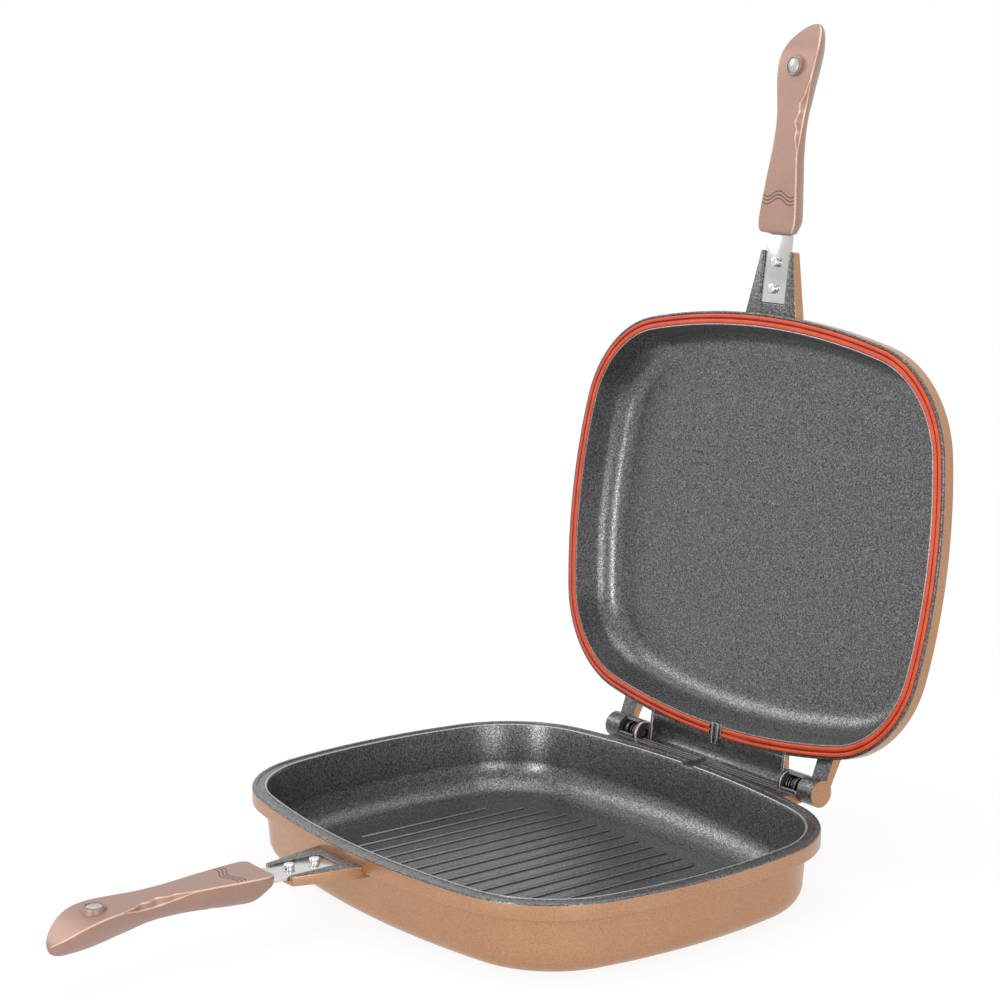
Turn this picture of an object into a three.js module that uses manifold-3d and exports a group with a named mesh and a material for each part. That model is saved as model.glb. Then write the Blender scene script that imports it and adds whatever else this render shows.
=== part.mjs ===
// A double sided flip pan: two cast pans that close face to face on a rear hinge.
// Millimetres, +Z up, origin at the centre of the lower pan's flat base.
// X runs along the hinge and +Y from the handles to the hinge. The pan is modelled open.
import * as THREE from 'three';
import { mergeVertices } from 'three/addons/utils/BufferGeometryUtils.js';
import Module from 'manifold-3d';

const wasm = await Module();
wasm.setup();

// Outline of both rims: four arcs tangent to one another.
const panHalfLength = 160;
const panHalfDepth = 127.8;
const longSideRadius = 501;
const shortSideRadius = 345;
const cornerRadius = 70;

// Walls, shared by both pans.
const rimInset = 8;
const skirtEdgeRound = 1;
const wallThickness = 3;
const wallDraft = 1.5;
const baseThickness = 3;
const innerFillet = 20;
const lowerPanHeight = 43;
const lowerSkirt = 9.5;
const lowerRimRound = 1;
const lowerOuterFillet = 12;
const lidHeight = 27.5;
const lidSkirt = 8.5;
const lidRimRound = 0.4;
const lidOuterFillet = 16;

// The lower rim's land and lip, and the lid's seal groove.
const landWidth = 2.7;
const landDepth = 0.6;
const landSlope = 0.2;
const lipWidth = 0.9;
const lipRound = 0.4;
const sealEdgeWidth = 0.8;
const sealWidth = 6.2;
const sealBodyThickness = 3.9;
const sealProud = 0.7;
const sealRidgeHeight = 0.7;
const sealGap = 5.5;

// Clearances.
const fitGap = 0.3;
const closedSealGap = 0.3;
const cutOverrun = 2;
const joinOverlap = 1;

// Floor ribs of the lower pan.
const ribPitch = 13;
const ribCount = 17;
const ribWidth = 2.6;
const ribTopWidth = 1.4;
const ribHeight = 1;
const ribFieldHalfLength = 108;
const ribFieldHalfDepth = 81;
const ribFieldPower = 3.6;

// Hinge.
const hingeBehindRim = 11.5;
const hingeAboveRim = 0.9;
const openAngle = 97.5;
const barrelRadius = 8;
const barrelStart = 63.5;
const barrelLength = 16.7;
const barrelEndWall = 3.2;
const barrelBore = 6;
const windowAboveAxis = 1.4;
const knuckleLength = 12.5;
const knuckleBoreDepth = 6;
const earFrontDrop = 3.4;
const earFrontSlope = 0.25;
const earBackDrop = 8.6;
const earBackSlope = 0.395;
const earFoot = 10;
const earRootSlant = 1.6;

// Spring-loaded hinge pins.
const pinTailRadius = 2.6;
const pinNoseRadius = 3.4;
const pinNoseReach = 3.6;
const pinTailSunk = 1.6;
const collarThickness = 2;
const collarFromBarrelEnd = 3.7;
const springWire = 0.8;
const springTurns = 3;
const springSidesPerTurn = 8;
const springWireSides = 5;

// Rear ledge, drain notch, drip gutter and spout.
const ledgeThickness = 5.7;
const ledgeDrop = 0.8;
const ledgeShelf = 5.2;
const ledgeHalfLength = 61.2;
const stopGap = 0.65;
const notchWidth = 10.8;
const notchDepth = 1.6;
const gutterHalfLength = 60.4;
const gutterEndWall = 2.4;
const gutterWall = 2;
const gutterReach = 16.7;
const gutterDepth = 4.3;
const gutterFrontRise = 0;
const spoutWidth = 8.8;
const spoutChannelWidth = 4;
const spoutChannelDepth = 1.4;
const spoutRise = 1.7;
const spoutReach = 3.6;

// Handle bracket, cast with each pan.
const bracketRootHalfWidth = 21.6;
const bracketTipHalfWidth = 13.7;
const bracketLength = 37.4;
const bracketDrop = 5.7;
const bracketRootThickness = 7.2;
const bracketTipThickness = 5.6;
const recessFromRim = 6.5;
const tangBelowTop = 0.8;

// Steel tang, its rivets and the grip screw.
const tangWidth = 20;
const tangThickness = 2;
const tangNeckWidth = 13;
const tangVisible = 10;
const tangInGrip = 64;
const tangTaper = 16;
const rivetShankRadius = 2.2;
const rivetHeadRadius = 3;
const rivetHeadHeight = 3;
const rivetInset = 8.3;
const rivetPitch = 15.8;
const rivetFootRadius = 3.6;
const rivetFootHeight = 1.3;
const screwFromGripEnd = 32;
const screwRadius = 2;
const screwHeadRadius = 3.7;
const screwHeadHeight = 2.2;
const screwHeadDrop = 13.5;
const gripSkin = 1.7;

// Grip.
const gripLength = 124;
const gripHalfWidth = 15.6;
const gripThickness = 17.2;
const gripDrop = 2.1;
const gripEdgeRound = 1.2;
const facetDepth = 2.2;
const facetHeight = 3.4;

// Magnet in its steel cup, on a boss of the grip.
const magnetFromGripEnd = 97.9;
const magnetRadius = 4.3;
const magnetThickness = 2.5;
const cupWall = 0.7;
const bossWall = 1.4;
const bossSide = 6;
const magnetBelowRim = 1.4;

const degree = Math.PI / 180;

// Places that follow from the sizes above. Each pan has a frame of its own, with its rim at z = 0
// and its body below; the lid is that frame turned over.
const hingeY = panHalfDepth + hingeBehindRim;
const lidRimGap = sealProud + closedSealGap;
const lidHingeZ = lidRimGap - hingeAboveRim;
const barrelEnd = barrelStart + barrelLength;
const knuckleStart = barrelEnd + fitGap;
const knuckleEnd = knuckleStart + knuckleLength;
const sealOuterInset = sealEdgeWidth + fitGap;
const sealGrooveWidth = sealWidth + 2 * fitGap;
const sealGrooveDepth = sealBodyThickness - sealProud + fitGap;
const lipInnerInset = sealEdgeWidth + sealGrooveWidth + lipWidth;
const bracketTipY = -panHalfDepth - bracketLength;
const recessEndY = -panHalfDepth - recessFromRim;
const tangTop = -bracketDrop - tangBelowTop;
const tangBottom = tangTop - tangThickness;
const tangStartY = recessEndY - fitGap;
const gripNearY = bracketTipY - tangVisible;
const tangTipY = gripNearY - tangInGrip;
const screwY = gripNearY - screwFromGripEnd;
const magnetY = gripNearY - magnetFromGripEnd;
const cupInnerRadius = magnetRadius + fitGap;
const cupRadius = cupInnerRadius + cupWall;
const pocketRadius = cupRadius + fitGap;
const pocketFloorZ = -magnetBelowRim - magnetThickness - cupWall - 2 * fitGap;

// Turns a closed geometry into a solid, with every shared vertex merged.
function solid(geometry) {
  const plain = geometry.index ? geometry.toNonIndexed() : geometry.clone();
  plain.deleteAttribute('normal');
  plain.deleteAttribute('uv');
  const merged = mergeVertices(plain);
  const mesh = new wasm.Mesh({
    numProp: 3,
    vertProperties: new Float32Array(merged.attributes.position.array),
    triVerts: new Uint32Array(merged.index.array),
  });
  return new wasm.Manifold(mesh);
}

// Gives a solid back as a named mesh with its own material.
function named(name, shape, material) {
  const mesh = shape.getMesh();
  const geometry = new THREE.BufferGeometry();
  const positions = new THREE.Float32BufferAttribute(mesh.vertProperties, 3);
  geometry.setAttribute('position', positions);
  geometry.setIndex(new THREE.Uint32BufferAttribute(mesh.triVerts, 1));
  geometry.computeVertexNormals();
  const part = new THREE.Mesh(geometry, material);
  part.name = name;
  return part;
}

function finish(color, roughness, metalness) {
  return new THREE.MeshStandardMaterial({ color, roughness, metalness });
}

function block(minX, maxX, minY, maxY, minZ, maxZ) {
  const geometry = new THREE.BoxGeometry(maxX - minX, maxY - minY, maxZ - minZ);
  geometry.translate((minX + maxX) / 2, (minY + maxY) / 2, (minZ + maxZ) / 2);
  return solid(geometry);
}

// A prism along X: the outline is a list of [y, z] points.
function prismAlongX(outline, startX, endX) {
  const shape = new THREE.Shape(outline.map(([y, z]) => new THREE.Vector2(y, z)));
  const geometry = new THREE.ExtrudeGeometry(shape, { depth: endX - startX, bevelEnabled: false });
  geometry.applyMatrix4(new THREE.Matrix4().set(0, 0, 1, startX, 1, 0, 0, 0, 0, 1, 0, 0, 0, 0, 0, 1));
  return solid(geometry);
}

// A prism along Z: the outline is a list of [x, y] points.
function prismAlongZ(outline, bottomZ, topZ) {
  const shape = new THREE.Shape(outline.map(([x, y]) => new THREE.Vector2(x, y)));
  const geometry = new THREE.ExtrudeGeometry(shape, { depth: topZ - bottomZ, bevelEnabled: false });
  geometry.translate(0, 0, bottomZ);
  return solid(geometry);
}

// A turned piece: the profile is a list of [radius, place] points from axis to axis.
function turnedAlongX(profile, sides, y, z) {
  const points = profile.map(([radius, x]) => new THREE.Vector2(radius, x));
  const geometry = new THREE.LatheGeometry(points, sides);
  geometry.rotateZ(-Math.PI / 2);
  geometry.translate(0, y, z);
  return solid(geometry);
}

function turnedAlongZ(profile, sides, x, y) {
  const points = profile.map(([radius, z]) => new THREE.Vector2(radius, z));
  const geometry = new THREE.LatheGeometry(points, sides);
  geometry.rotateX(Math.PI / 2);
  geometry.translate(x, y, 0);
  return solid(geometry);
}

// A profile of [radius, x] for the right hinge, mirrored for the left one.
function onSide(profile, side) {
  return side > 0 ? profile : profile.map(([radius, x]) => [radius, -x]).reverse();
}

function rodAlongX(radius, startX, endX, sides, y, z) {
  return turnedAlongX([[0, startX], [radius, startX], [radius, endX], [0, endX]], sides, y, z);
}

function rodAlongZ(radius, bottomZ, topZ, sides, x, y) {
  return turnedAlongZ([[0, bottomZ], [radius, bottomZ], [radius, topZ], [0, topZ]], sides, x, y);
}

// The rim outline as arcs: each has a centre, a radius and the angle between its ends.
const outlineArcs = (() => {
  const longCentreY = panHalfDepth - longSideRadius;
  const shortCentreX = panHalfLength - shortSideRadius;
  const toLong = longSideRadius - cornerRadius;
  const toShort = shortSideRadius - cornerRadius;
  const spanX = shortCentreX;
  const spanY = -longCentreY;
  const span = Math.hypot(spanX, spanY);
  const along = (toLong ** 2 - toShort ** 2 + span ** 2) / (2 * span);
  const across = Math.sqrt(toLong ** 2 - along ** 2);
  const cornerX = (along * spanX + across * spanY) / span;
  const cornerY = longCentreY + (along * spanY - across * spanX) / span;
  const shortEnd = Math.atan2(cornerY, cornerX - shortCentreX);
  const longStart = Math.atan2(cornerY - longCentreY, cornerX);
  const segments = [
    { x: shortCentreX, y: 0, radius: shortSideRadius, from: 0, to: shortEnd, steps: 4 },
    { x: cornerX, y: cornerY, radius: cornerRadius, from: shortEnd, to: longStart, steps: 12 },
    { x: 0, y: longCentreY, radius: longSideRadius, from: longStart, to: Math.PI / 2, steps: 5 },
  ];
  return segments;
})();

// One quarter of the outline, drawn in by inset, then mirrored into a full ring.
function outlineRing(inset) {
  const quarter = [];
  for (const arc of outlineArcs) {
    for (let step = 0; step < arc.steps; step += 1) {
      const angle = arc.from + (arc.to - arc.from) * step / arc.steps;
      const reach = arc.radius - inset;
      quarter.push([arc.x + reach * Math.cos(angle), arc.y + reach * Math.sin(angle)]);
    }
  }
  const top = [0, panHalfDepth - inset];
  const firstHalf = [...quarter, top, ...quarter.slice(1).reverse().map(([x, y]) => [-x, y])];
  return [...firstHalf, ...firstHalf.map(([x, y]) => [-x, -y])];
}

// Joins rings into a closed skin. A profile of [inset, z] runs from the base up the outside,
// over the rim and down the inside; a looped one closes on itself instead.
function lofted(profile, looped) {
  const positions = [];
  const rings = profile.map(([inset, z]) => {
    const first = positions.length / 3;
    const ring = outlineRing(inset);
    ring.forEach(([x, y]) => positions.push(x, y, z));
    return { first, count: ring.length };
  });
  const indices = [];
  const joins = looped ? rings.length : rings.length - 1;
  for (let ring = 0; ring < joins; ring += 1) {
    const below = rings[ring].first;
    const above = rings[(ring + 1) % rings.length].first;
    const count = rings[ring].count;
    for (let side = 0; side < count; side += 1) {
      const next = (side + 1) % count;
      indices.push(below + side, below + next, above + next, below + side, above + next, above + side);
    }
  }
  if (!looped) {
    const caps = [[rings[0], profile[0][1], true], [rings.at(-1), profile.at(-1)[1], false]];
    for (const [ring, z, facesDown] of caps) {
      const centre = positions.length / 3;
      positions.push(0, 0, z);
      for (let side = 0; side < ring.count; side += 1) {
        const here = ring.first + side;
        const next = ring.first + (side + 1) % ring.count;
        indices.push(centre, facesDown ? next : here, facesDown ? here : next);
      }
    }
  }
  const geometry = new THREE.BufferGeometry();
  geometry.setAttribute('position', new THREE.Float32BufferAttribute(positions, 3));
  geometry.setIndex(indices);
  return solid(geometry);
}

// Points on a quarter circle between two angles, as [inset, z] about a centre.
function arcPoints(centreInset, centreZ, radius, fromAngle, toAngle, steps) {
  return Array.from({ length: steps + 1 }, (_, step) => {
    const angle = (fromAngle + (toAngle - fromAngle) * step / steps) * degree;
    return [centreInset + radius * Math.cos(angle), centreZ + radius * Math.sin(angle)];
  });
}

// A cast pan shell in its own frame. rimTop is the stretch of profile across the rim.
function panShell({ height, skirt, outerFillet, rimRound, innerWall }, rimTop) {
  const filletInset = rimInset + wallDraft + outerFillet;
  const floorZ = baseThickness - height;
  return lofted([
    ...arcPoints(filletInset, outerFillet - height, outerFillet, 270, 180, 4),
    [rimInset, -skirt],
    [skirtEdgeRound, -skirt],
    [0, skirtEdgeRound - skirt],
    ...arcPoints(rimRound, -rimRound, rimRound, 180, 90, 2),
    ...rimTop,
    ...arcPoints(innerWall + innerFillet, floorZ + innerFillet, innerFillet, 180, 270, 5),
  ], false);
}

// The handle bracket: a tapered plate with an open recess for the tang and two rivet holes.
function bracket() {
  const rootY = rimInset + wallDraft / 2 - panHalfDepth;
  const plan = prismAlongZ([
    [bracketRootHalfWidth, rootY],
    [-bracketRootHalfWidth, rootY],
    [-bracketRootHalfWidth, -panHalfDepth],
    [-bracketTipHalfWidth, bracketTipY],
    [bracketTipHalfWidth, bracketTipY],
    [bracketRootHalfWidth, -panHalfDepth],
  ], -bracketDrop - bracketRootThickness, -bracketDrop);
  const side = prismAlongX([
    [rootY, -bracketDrop],
    [bracketTipY, -bracketDrop],
    [bracketTipY, -bracketDrop - bracketTipThickness],
    [-panHalfDepth, -bracketDrop - bracketRootThickness],
    [rootY, -bracketDrop - bracketRootThickness],
  ], -bracketRootHalfWidth, bracketRootHalfWidth);
  const halfWidth = tangWidth / 2 + fitGap;
  const recess = block(-halfWidth, halfWidth, bracketTipY - cutOverrun, recessEndY,
    tangBottom - fitGap, cutOverrun - bracketDrop);
  return { plate: plan.intersect(side), cuts: [recess, ...rivetHoles()] };
}

function rivetPlaces() {
  const innerY = tangStartY - rivetInset;
  return [['inner', innerY], ['outer', innerY - rivetPitch]];
}

function rivetHoles() {
  const bottom = -bracketDrop - bracketRootThickness - cutOverrun;
  return rivetPlaces().map(([, y]) =>
    rodAlongZ(rivetShankRadius + fitGap, bottom, tangTop + cutOverrun, 16, 0, y));
}

// Floor ribs: thin bars with sloping sides, ending on a rounded field.
function floorRibs(floorZ) {
  const bars = [];
  const middle = (ribCount - 1) / 2;
  for (let index = 0; index < ribCount; index += 1) {
    const x = (index - middle) * ribPitch;
    const share = Math.abs(x / ribFieldHalfLength) ** ribFieldPower;
    const reach = ribFieldHalfDepth * (1 - share) ** (1 / ribFieldPower);
    bars.push(floorRib(x, reach, floorZ));
  }
  return bars;
}

function floorRib(x, reach, floorZ) {
  const foot = new THREE.BoxGeometry(ribWidth, 2 * reach, ribHeight + joinOverlap);
  foot.translate(x, 0, floorZ + (ribHeight - joinOverlap) / 2);
  const position = foot.attributes.position;
  const slope = (ribWidth - ribTopWidth) / 2;
  for (let corner = 0; corner < position.count; corner += 1) {
    if (position.getZ(corner) < floorZ) continue;
    position.setX(corner, position.getX(corner) - Math.sign(position.getX(corner) - x) * slope);
    position.setY(corner, position.getY(corner) - Math.sign(position.getY(corner)) * slope);
  }
  return solid(foot);
}

// The lower pan carries the windowed hinge barrels on a rear ledge.
function lowerPan() {
  const landInner = lipInnerInset - lipWidth;
  const rimTop = [
    [landWidth, 0],
    [landWidth + landSlope, -landDepth],
    [landInner - landSlope, -landDepth],
    [landInner, 0],
    [lipInnerInset - lipRound, 0],
    [lipInnerInset, -lipRound],
  ];
  const floorZ = baseThickness - lowerPanHeight;
  const rootY = panHalfDepth - rimInset;
  const ledgeBottom = -ledgeDrop - ledgeThickness;
  const shelfY = panHalfDepth + ledgeShelf;
  const stopY = hingeY - stopGap;
  const { plate, cuts } = bracket();
  const innerWall = rimInset + wallDraft + wallThickness;
  let shape = panShell({
    height: lowerPanHeight,
    skirt: lowerSkirt,
    outerFillet: lowerOuterFillet,
    rimRound: lowerRimRound,
    innerWall,
  }, rimTop).add(plate);
  shape = shape.add(block(-barrelEnd, barrelEnd, rootY, shelfY, ledgeBottom, -ledgeDrop));
  shape = shape.add(block(-ledgeHalfLength, ledgeHalfLength, rootY, stopY, ledgeBottom, -ledgeDrop));
  for (const rib of floorRibs(floorZ)) shape = shape.add(rib);
  const webZ = hingeAboveRim - windowAboveAxis;
  for (const side of [-1, 1]) {
    const [startX, endX] = side > 0 ? [barrelStart, barrelEnd] : [-barrelEnd, -barrelStart];
    const web = prismAlongX([
      [rootY, ledgeBottom],
      [hingeY, hingeAboveRim - barrelRadius + joinOverlap],
      [hingeY - joinOverlap, webZ],
      [rootY, -ledgeDrop],
    ], startX, endX);
    shape = shape.add(web);
    shape = shape.add(rodAlongX(barrelRadius, startX, endX, 32, hingeY, hingeAboveRim));
    shape = shape.subtract(barrelCuts(side));
  }
  const notchHalf = notchWidth / 2;
  const notch = block(-notchHalf, notchHalf, rootY - cutOverrun, stopY + cutOverrun, -notchDepth, cutOverrun);
  shape = shape.subtract(notch);
  const well = block(-bracketRootHalfWidth, bracketRootHalfWidth, bracketTipY, -panHalfDepth,
    -bracketDrop, cutOverrun);
  shape = shape.subtract(well);
  for (const cut of cuts) shape = shape.subtract(cut);
  return shape;
}

// The bore of one barrel, the guide hole of its pin and the window on its upper front.
function barrelCuts(side) {
  const boreStart = barrelStart + barrelEndWall;
  const guideStart = barrelStart - cutOverrun;
  const open = barrelEnd + cutOverrun;
  const bore = turnedAlongX(onSide([
    [0, guideStart],
    [pinTailRadius + fitGap, guideStart],
    [pinTailRadius + fitGap, boreStart],
    [barrelBore, boreStart],
    [barrelBore, open],
    [0, open],
  ], side), 24, hingeY, hingeAboveRim);
  const [startX, endX] = side > 0 ? [boreStart, open] : [-open, -boreStart];
  const front = hingeY - barrelRadius - cutOverrun;
  const window = block(startX, endX, front, hingeY - windowAboveAxis / 2,
    hingeAboveRim - windowAboveAxis, hingeAboveRim + barrelRadius + cutOverrun);
  return bore.add(window);
}

// The lid: seal groove, hinge ears with blind knuckles, drip gutter and spout.
function lidPan() {
  const grooveInner = sealEdgeWidth + sealGrooveWidth;
  const rimTop = [
    [sealEdgeWidth, 0],
    [sealEdgeWidth, -sealGrooveDepth],
    [grooveInner, -sealGrooveDepth],
    [grooveInner, 0],
    [lipInnerInset - lipRound, 0],
    [lipInnerInset, -lipRound],
  ];
  const { plate, cuts } = bracket();
  let shape = panShell({
    height: lidHeight,
    skirt: lidSkirt,
    outerFillet: lidOuterFillet,
    rimRound: lidRimRound,
    innerWall: rimInset + wallThickness,
  }, rimTop).add(plate);
  const earRootY = panHalfDepth - earFoot - rimInset;
  const earTipY = hingeY - barrelRadius * 0.3;
  for (const side of [-1, 1]) {
    const [startX, endX] = side > 0 ? [knuckleStart, knuckleEnd] : [-knuckleEnd, -knuckleStart];
    const ear = prismAlongX([
      [earRootY, earLine(earRootY, earFrontDrop, earFrontSlope)],
      [earTipY, earLine(earTipY, earFrontDrop, earFrontSlope)],
      [earTipY, earLine(earTipY, earBackDrop, earBackSlope)],
      [earRootY - earRootSlant, earLine(earRootY - earRootSlant, earBackDrop, earBackSlope)],
    ], startX, endX);
    shape = shape.add(ear);
    shape = shape.add(rodAlongX(barrelRadius, startX, endX, 32, hingeY, lidHingeZ));
    const boreEnd = knuckleStart + knuckleBoreDepth;
    const [boreFrom, boreTo] = side > 0
      ? [knuckleStart - cutOverrun, boreEnd]
      : [-boreEnd, cutOverrun - knuckleStart];
    shape = shape.subtract(rodAlongX(pinNoseRadius + fitGap, boreFrom, boreTo, 20, hingeY, lidHingeZ));
  }
  const groove = lofted([
    [sealEdgeWidth, -sealGrooveDepth],
    [sealEdgeWidth, cutOverrun],
    [grooveInner, cutOverrun],
    [grooveInner, -sealGrooveDepth],
  ], true);
  shape = shape.add(dripGutter()).subtract(groove).add(spoutBlock());
  const channelHalf = spoutChannelWidth / 2;
  const channel = block(-channelHalf, channelHalf, panHalfDepth - lipInnerInset - cutOverrun,
    panHalfDepth + spoutReach + cutOverrun, spoutRise - spoutChannelDepth, spoutRise + cutOverrun);
  shape = shape.subtract(channel);
  for (const cut of cuts) shape = shape.subtract(cut);
  return shape;
}

// The height of an ear's front or back line, given its drop where the knuckle begins.
function earLine(y, drop, slope) {
  return -drop - (hingeY - barrelRadius - y) * slope;
}

// A shallow gutter behind the rim, between the hinges, that catches what runs off the spout.
function dripGutter() {
  const startY = panHalfDepth - rimInset;
  const reachY = panHalfDepth + gutterReach;
  const channelFloor = gutterFrontRise - gutterDepth;
  const outerShares = [[0, 0], [1, 0], [1, 0.4], [0.97, 0.96], [0.86, 1.2], [0.62, 1.16], [0, 0.8]];
  const innerShares = [[-0.2, -0.4], [1, -0.4], [0.99, 0.5], [0.94, 0.9], [0.8, 1], [0.5, 0.9], [-0.2, 0.5]];
  const body = outerShares.map(([along, down]) =>
    [startY + (reachY - startY) * along, gutterFrontRise + (channelFloor - gutterFrontRise) * down]);
  const innerY = reachY - gutterWall;
  const hollow = innerShares.map(([along, down]) =>
    [panHalfDepth + (innerY - panHalfDepth) * along, gutterFrontRise + (channelFloor - gutterFrontRise) * down]);
  const solidBody = prismAlongX(body, -gutterHalfLength, gutterHalfLength);
  const inner = gutterHalfLength - gutterEndWall;
  return solidBody.subtract(prismAlongX(hollow, -inner, inner));
}

function spoutBlock() {
  const half = spoutWidth / 2;
  return block(-half, half, panHalfDepth - lipInnerInset + lipWidth / 2, panHalfDepth + spoutReach,
    -sealGrooveDepth - joinOverlap, spoutRise);
}

// The silicone seal: a ring with two ridges, open at the spout.
function seal() {
  const inner = sealOuterInset + sealWidth;
  const face = sealProud;
  const back = sealProud - sealBodyThickness;
  const widthShares = [0, 0.12, 0.24, 0.36, 0.5, 0.64, 0.76, 0.88, 1];
  const riseShares = [0, 0.85, 1, 0.85, 0, 0.85, 1, 0.85, 0];
  const ridge = widthShares.map((share, index) =>
    [sealOuterInset + sealWidth * share, face - sealRidgeHeight * (1 - riseShares[index])]);
  const ring = lofted([...ridge, [inner, back], [sealOuterInset, back]], true);
  return ring.subtract(block(-sealGap, sealGap, 0, hingeY, back - cutOverrun, face + cutOverrun));
}

// One hinge pin: a tail in the barrel's end wall, a collar guided by the bore and a nose that
// reaches into the lid's knuckle. Drawn in by its collar, it frees the lid.
function hingePin(side) {
  const tailStart = barrelStart + pinTailSunk;
  const collarEnd = barrelEnd - collarFromBarrelEnd;
  const collarStart = collarEnd - collarThickness;
  const noseEnd = barrelEnd + pinNoseReach;
  const collarRadius = barrelBore - fitGap;
  const profile = [
    [0, tailStart],
    [pinTailRadius, tailStart],
    [pinTailRadius, collarStart],
    [collarRadius, collarStart],
    [collarRadius, collarEnd],
    [pinNoseRadius, collarEnd],
    [pinNoseRadius, noseEnd],
    [0, noseEnd],
  ];
  return turnedAlongX(onSide(profile, side), 20, hingeY, hingeAboveRim);
}

// The compression spring round the pin's tail, one unbroken wire.
function hingeSpring(side) {
  const startX = barrelStart + barrelEndWall + fitGap + springWire / 2;
  const endX = barrelEnd - collarFromBarrelEnd - collarThickness - fitGap - springWire / 2;
  const coilRadius = (pinTailRadius + barrelBore) / 2;
  const pointAt = (share) => {
    const angle = springTurns * 2 * Math.PI * share;
    const x = side * (startX + (endX - startX) * share);
    return new THREE.Vector3(x, coilRadius * Math.cos(angle), coilRadius * Math.sin(angle));
  };
  const steps = springTurns * springSidesPerTurn;
  const centres = Array.from({ length: steps + 1 }, (_, step) => pointAt(step / steps));
  const positions = [];
  centres.forEach((centre, index) => {
    const before = centres[Math.max(index - 1, 0)];
    const after = centres[Math.min(index + 1, steps)];
    const along = after.clone().sub(before).normalize();
    const outward = new THREE.Vector3(0, centre.y, centre.z).normalize();
    const across = along.clone().cross(outward).normalize();
    for (let corner = 0; corner < springWireSides; corner += 1) {
      const angle = 2 * Math.PI * corner / springWireSides;
      const point = centre.clone()
        .addScaledVector(outward, springWire / 2 * Math.cos(angle))
        .addScaledVector(across, springWire / 2 * Math.sin(angle));
      positions.push(point.x, point.y + hingeY, point.z + hingeAboveRim);
    }
  });
  const indices = [];
  for (let step = 0; step < steps; step += 1) {
    for (let corner = 0; corner < springWireSides; corner += 1) {
      const here = step * springWireSides + corner;
      const next = step * springWireSides + (corner + 1) % springWireSides;
      indices.push(here, next, next + springWireSides, here, next + springWireSides, here + springWireSides);
    }
  }
  const last = steps * springWireSides;
  for (let corner = 1; corner < springWireSides - 1; corner += 1) {
    indices.push(0, corner + 1, corner, last, last + corner, last + corner + 1);
  }
  const geometry = new THREE.BufferGeometry();
  geometry.setAttribute('position', new THREE.Float32BufferAttribute(positions, 3));
  geometry.setIndex(indices);
  reportSpringGap(centres, side);
  return solid(geometry);
}

// The least gap between two neighbouring turns, measured on the wire's own points.
function reportSpringGap(centres, side) {
  let least = Infinity;
  for (let first = 0; first < centres.length; first += 1) {
    for (let second = first + springSidesPerTurn / 2; second < centres.length; second += 1) {
      least = Math.min(least, centres[first].distanceTo(centres[second]) - springWire);
    }
  }
  const name = side > 0 ? 'right' : 'left';
  console.log(`${name} hinge spring: least gap between turns ${least.toFixed(2)} mm`);
}

// The steel tang: a plate that narrows inside the grip.
function tang() {
  const half = tangWidth / 2;
  const neckHalf = tangNeckWidth / 2;
  const plate = prismAlongZ([
    [-half, tangStartY],
    [-half, gripNearY],
    [-neckHalf, gripNearY - tangTaper],
    [-neckHalf, tangTipY],
    [neckHalf, tangTipY],
    [neckHalf, gripNearY - tangTaper],
    [half, gripNearY],
    [half, tangStartY],
  ], tangBottom, tangTop);
  let shape = plate;
  for (const hole of rivetHoles()) shape = shape.subtract(hole);
  const hole = rodAlongZ(screwRadius + fitGap, tangBottom - cutOverrun, tangTop + cutOverrun, 16, 0, screwY);
  return shape.subtract(hole);
}

// A rivet with a tall round head on the tang and an upset foot under the bracket.
function rivet(y) {
  const reach = (y - bracketTipY) / bracketLength;
  const under = bracketTipThickness + (bracketRootThickness - bracketTipThickness) * Math.min(reach + 0.1, 1);
  const footTop = -bracketDrop - under - fitGap;
  const headBase = tangTop + fitGap;
  const headTop = headBase + rivetHeadHeight;
  return turnedAlongZ([
    [0, footTop - rivetFootHeight],
    [rivetFootRadius * 0.8, footTop - rivetFootHeight],
    [rivetFootRadius, footTop - rivetFootHeight / 2],
    [rivetFootRadius, footTop],
    [rivetShankRadius, footTop],
    [rivetShankRadius, headBase],
    [rivetHeadRadius, headBase],
    [rivetHeadRadius, headTop - rivetHeadHeight * 0.3],
    [rivetHeadRadius * 0.8, headTop - rivetHeadHeight * 0.07],
    [0, headTop],
  ], 16, 0, y);
}

// Stations along the grip: places as shares of its length, half widths as shares of its widest
// half width, and the heights of its top and bottom as shares of its thickness.
const gripPlaceShares = [0, 0.01, 0.03, 0.065, 0.13, 0.21, 0.29, 0.37, 0.44, 0.51, 0.57, 0.63, 0.7,
  0.76, 0.82, 0.87, 0.915, 0.95, 0.975, 0.992, 1];
const gripWidthShares = [0.82, 0.91, 0.98, 1, 0.96, 0.88, 0.8, 0.71, 0.66, 0.65, 0.69, 0.79, 0.9,
  0.97, 1, 0.95, 0.82, 0.65, 0.47, 0.29, 0.13];
const gripTopShares = [0.038, 0.011, 0, 0, 0, 0, 0, 0.008, 0.019, 0.03, 0.045, 0.056, 0.067,
  0.083, 0.142, 0.244, 0.394, 0.551, 0.69, 0.795, 0.877];
const gripBottomShares = [0.596, 0.628, 0.767, 0.983, 0.994, 0.948, 0.89, 0.843, 0.826, 0.831, 0.872, 0.965,
  1.064, 1.151, 1.218, 1.25, 1.262, 1.267, 1.215, 1.134, 1.041];
// How full the rounded underside is: 2 is an ellipse, and less comes nearer to a keel.
const gripFullness = [2.6, 2.3, 2, 1.75, 1.68, 1.68, 1.72, 1.74, 1.76, 1.74, 1.64, 1.5, 1.4,
  1.38, 1.38, 1.4, 1.4, 1.37, 1.35, 1.35, 1.35];
// How far the thumb facet is cut at each station, as a share of its full depth.
const facetCutShares = [0, 0, 0, 0, 0, 0, 0, 0, 0.55, 0.95, 1, 0.75, 0.15, 0, 0, 0, 0, 0, 0, 0, 0];
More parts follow.
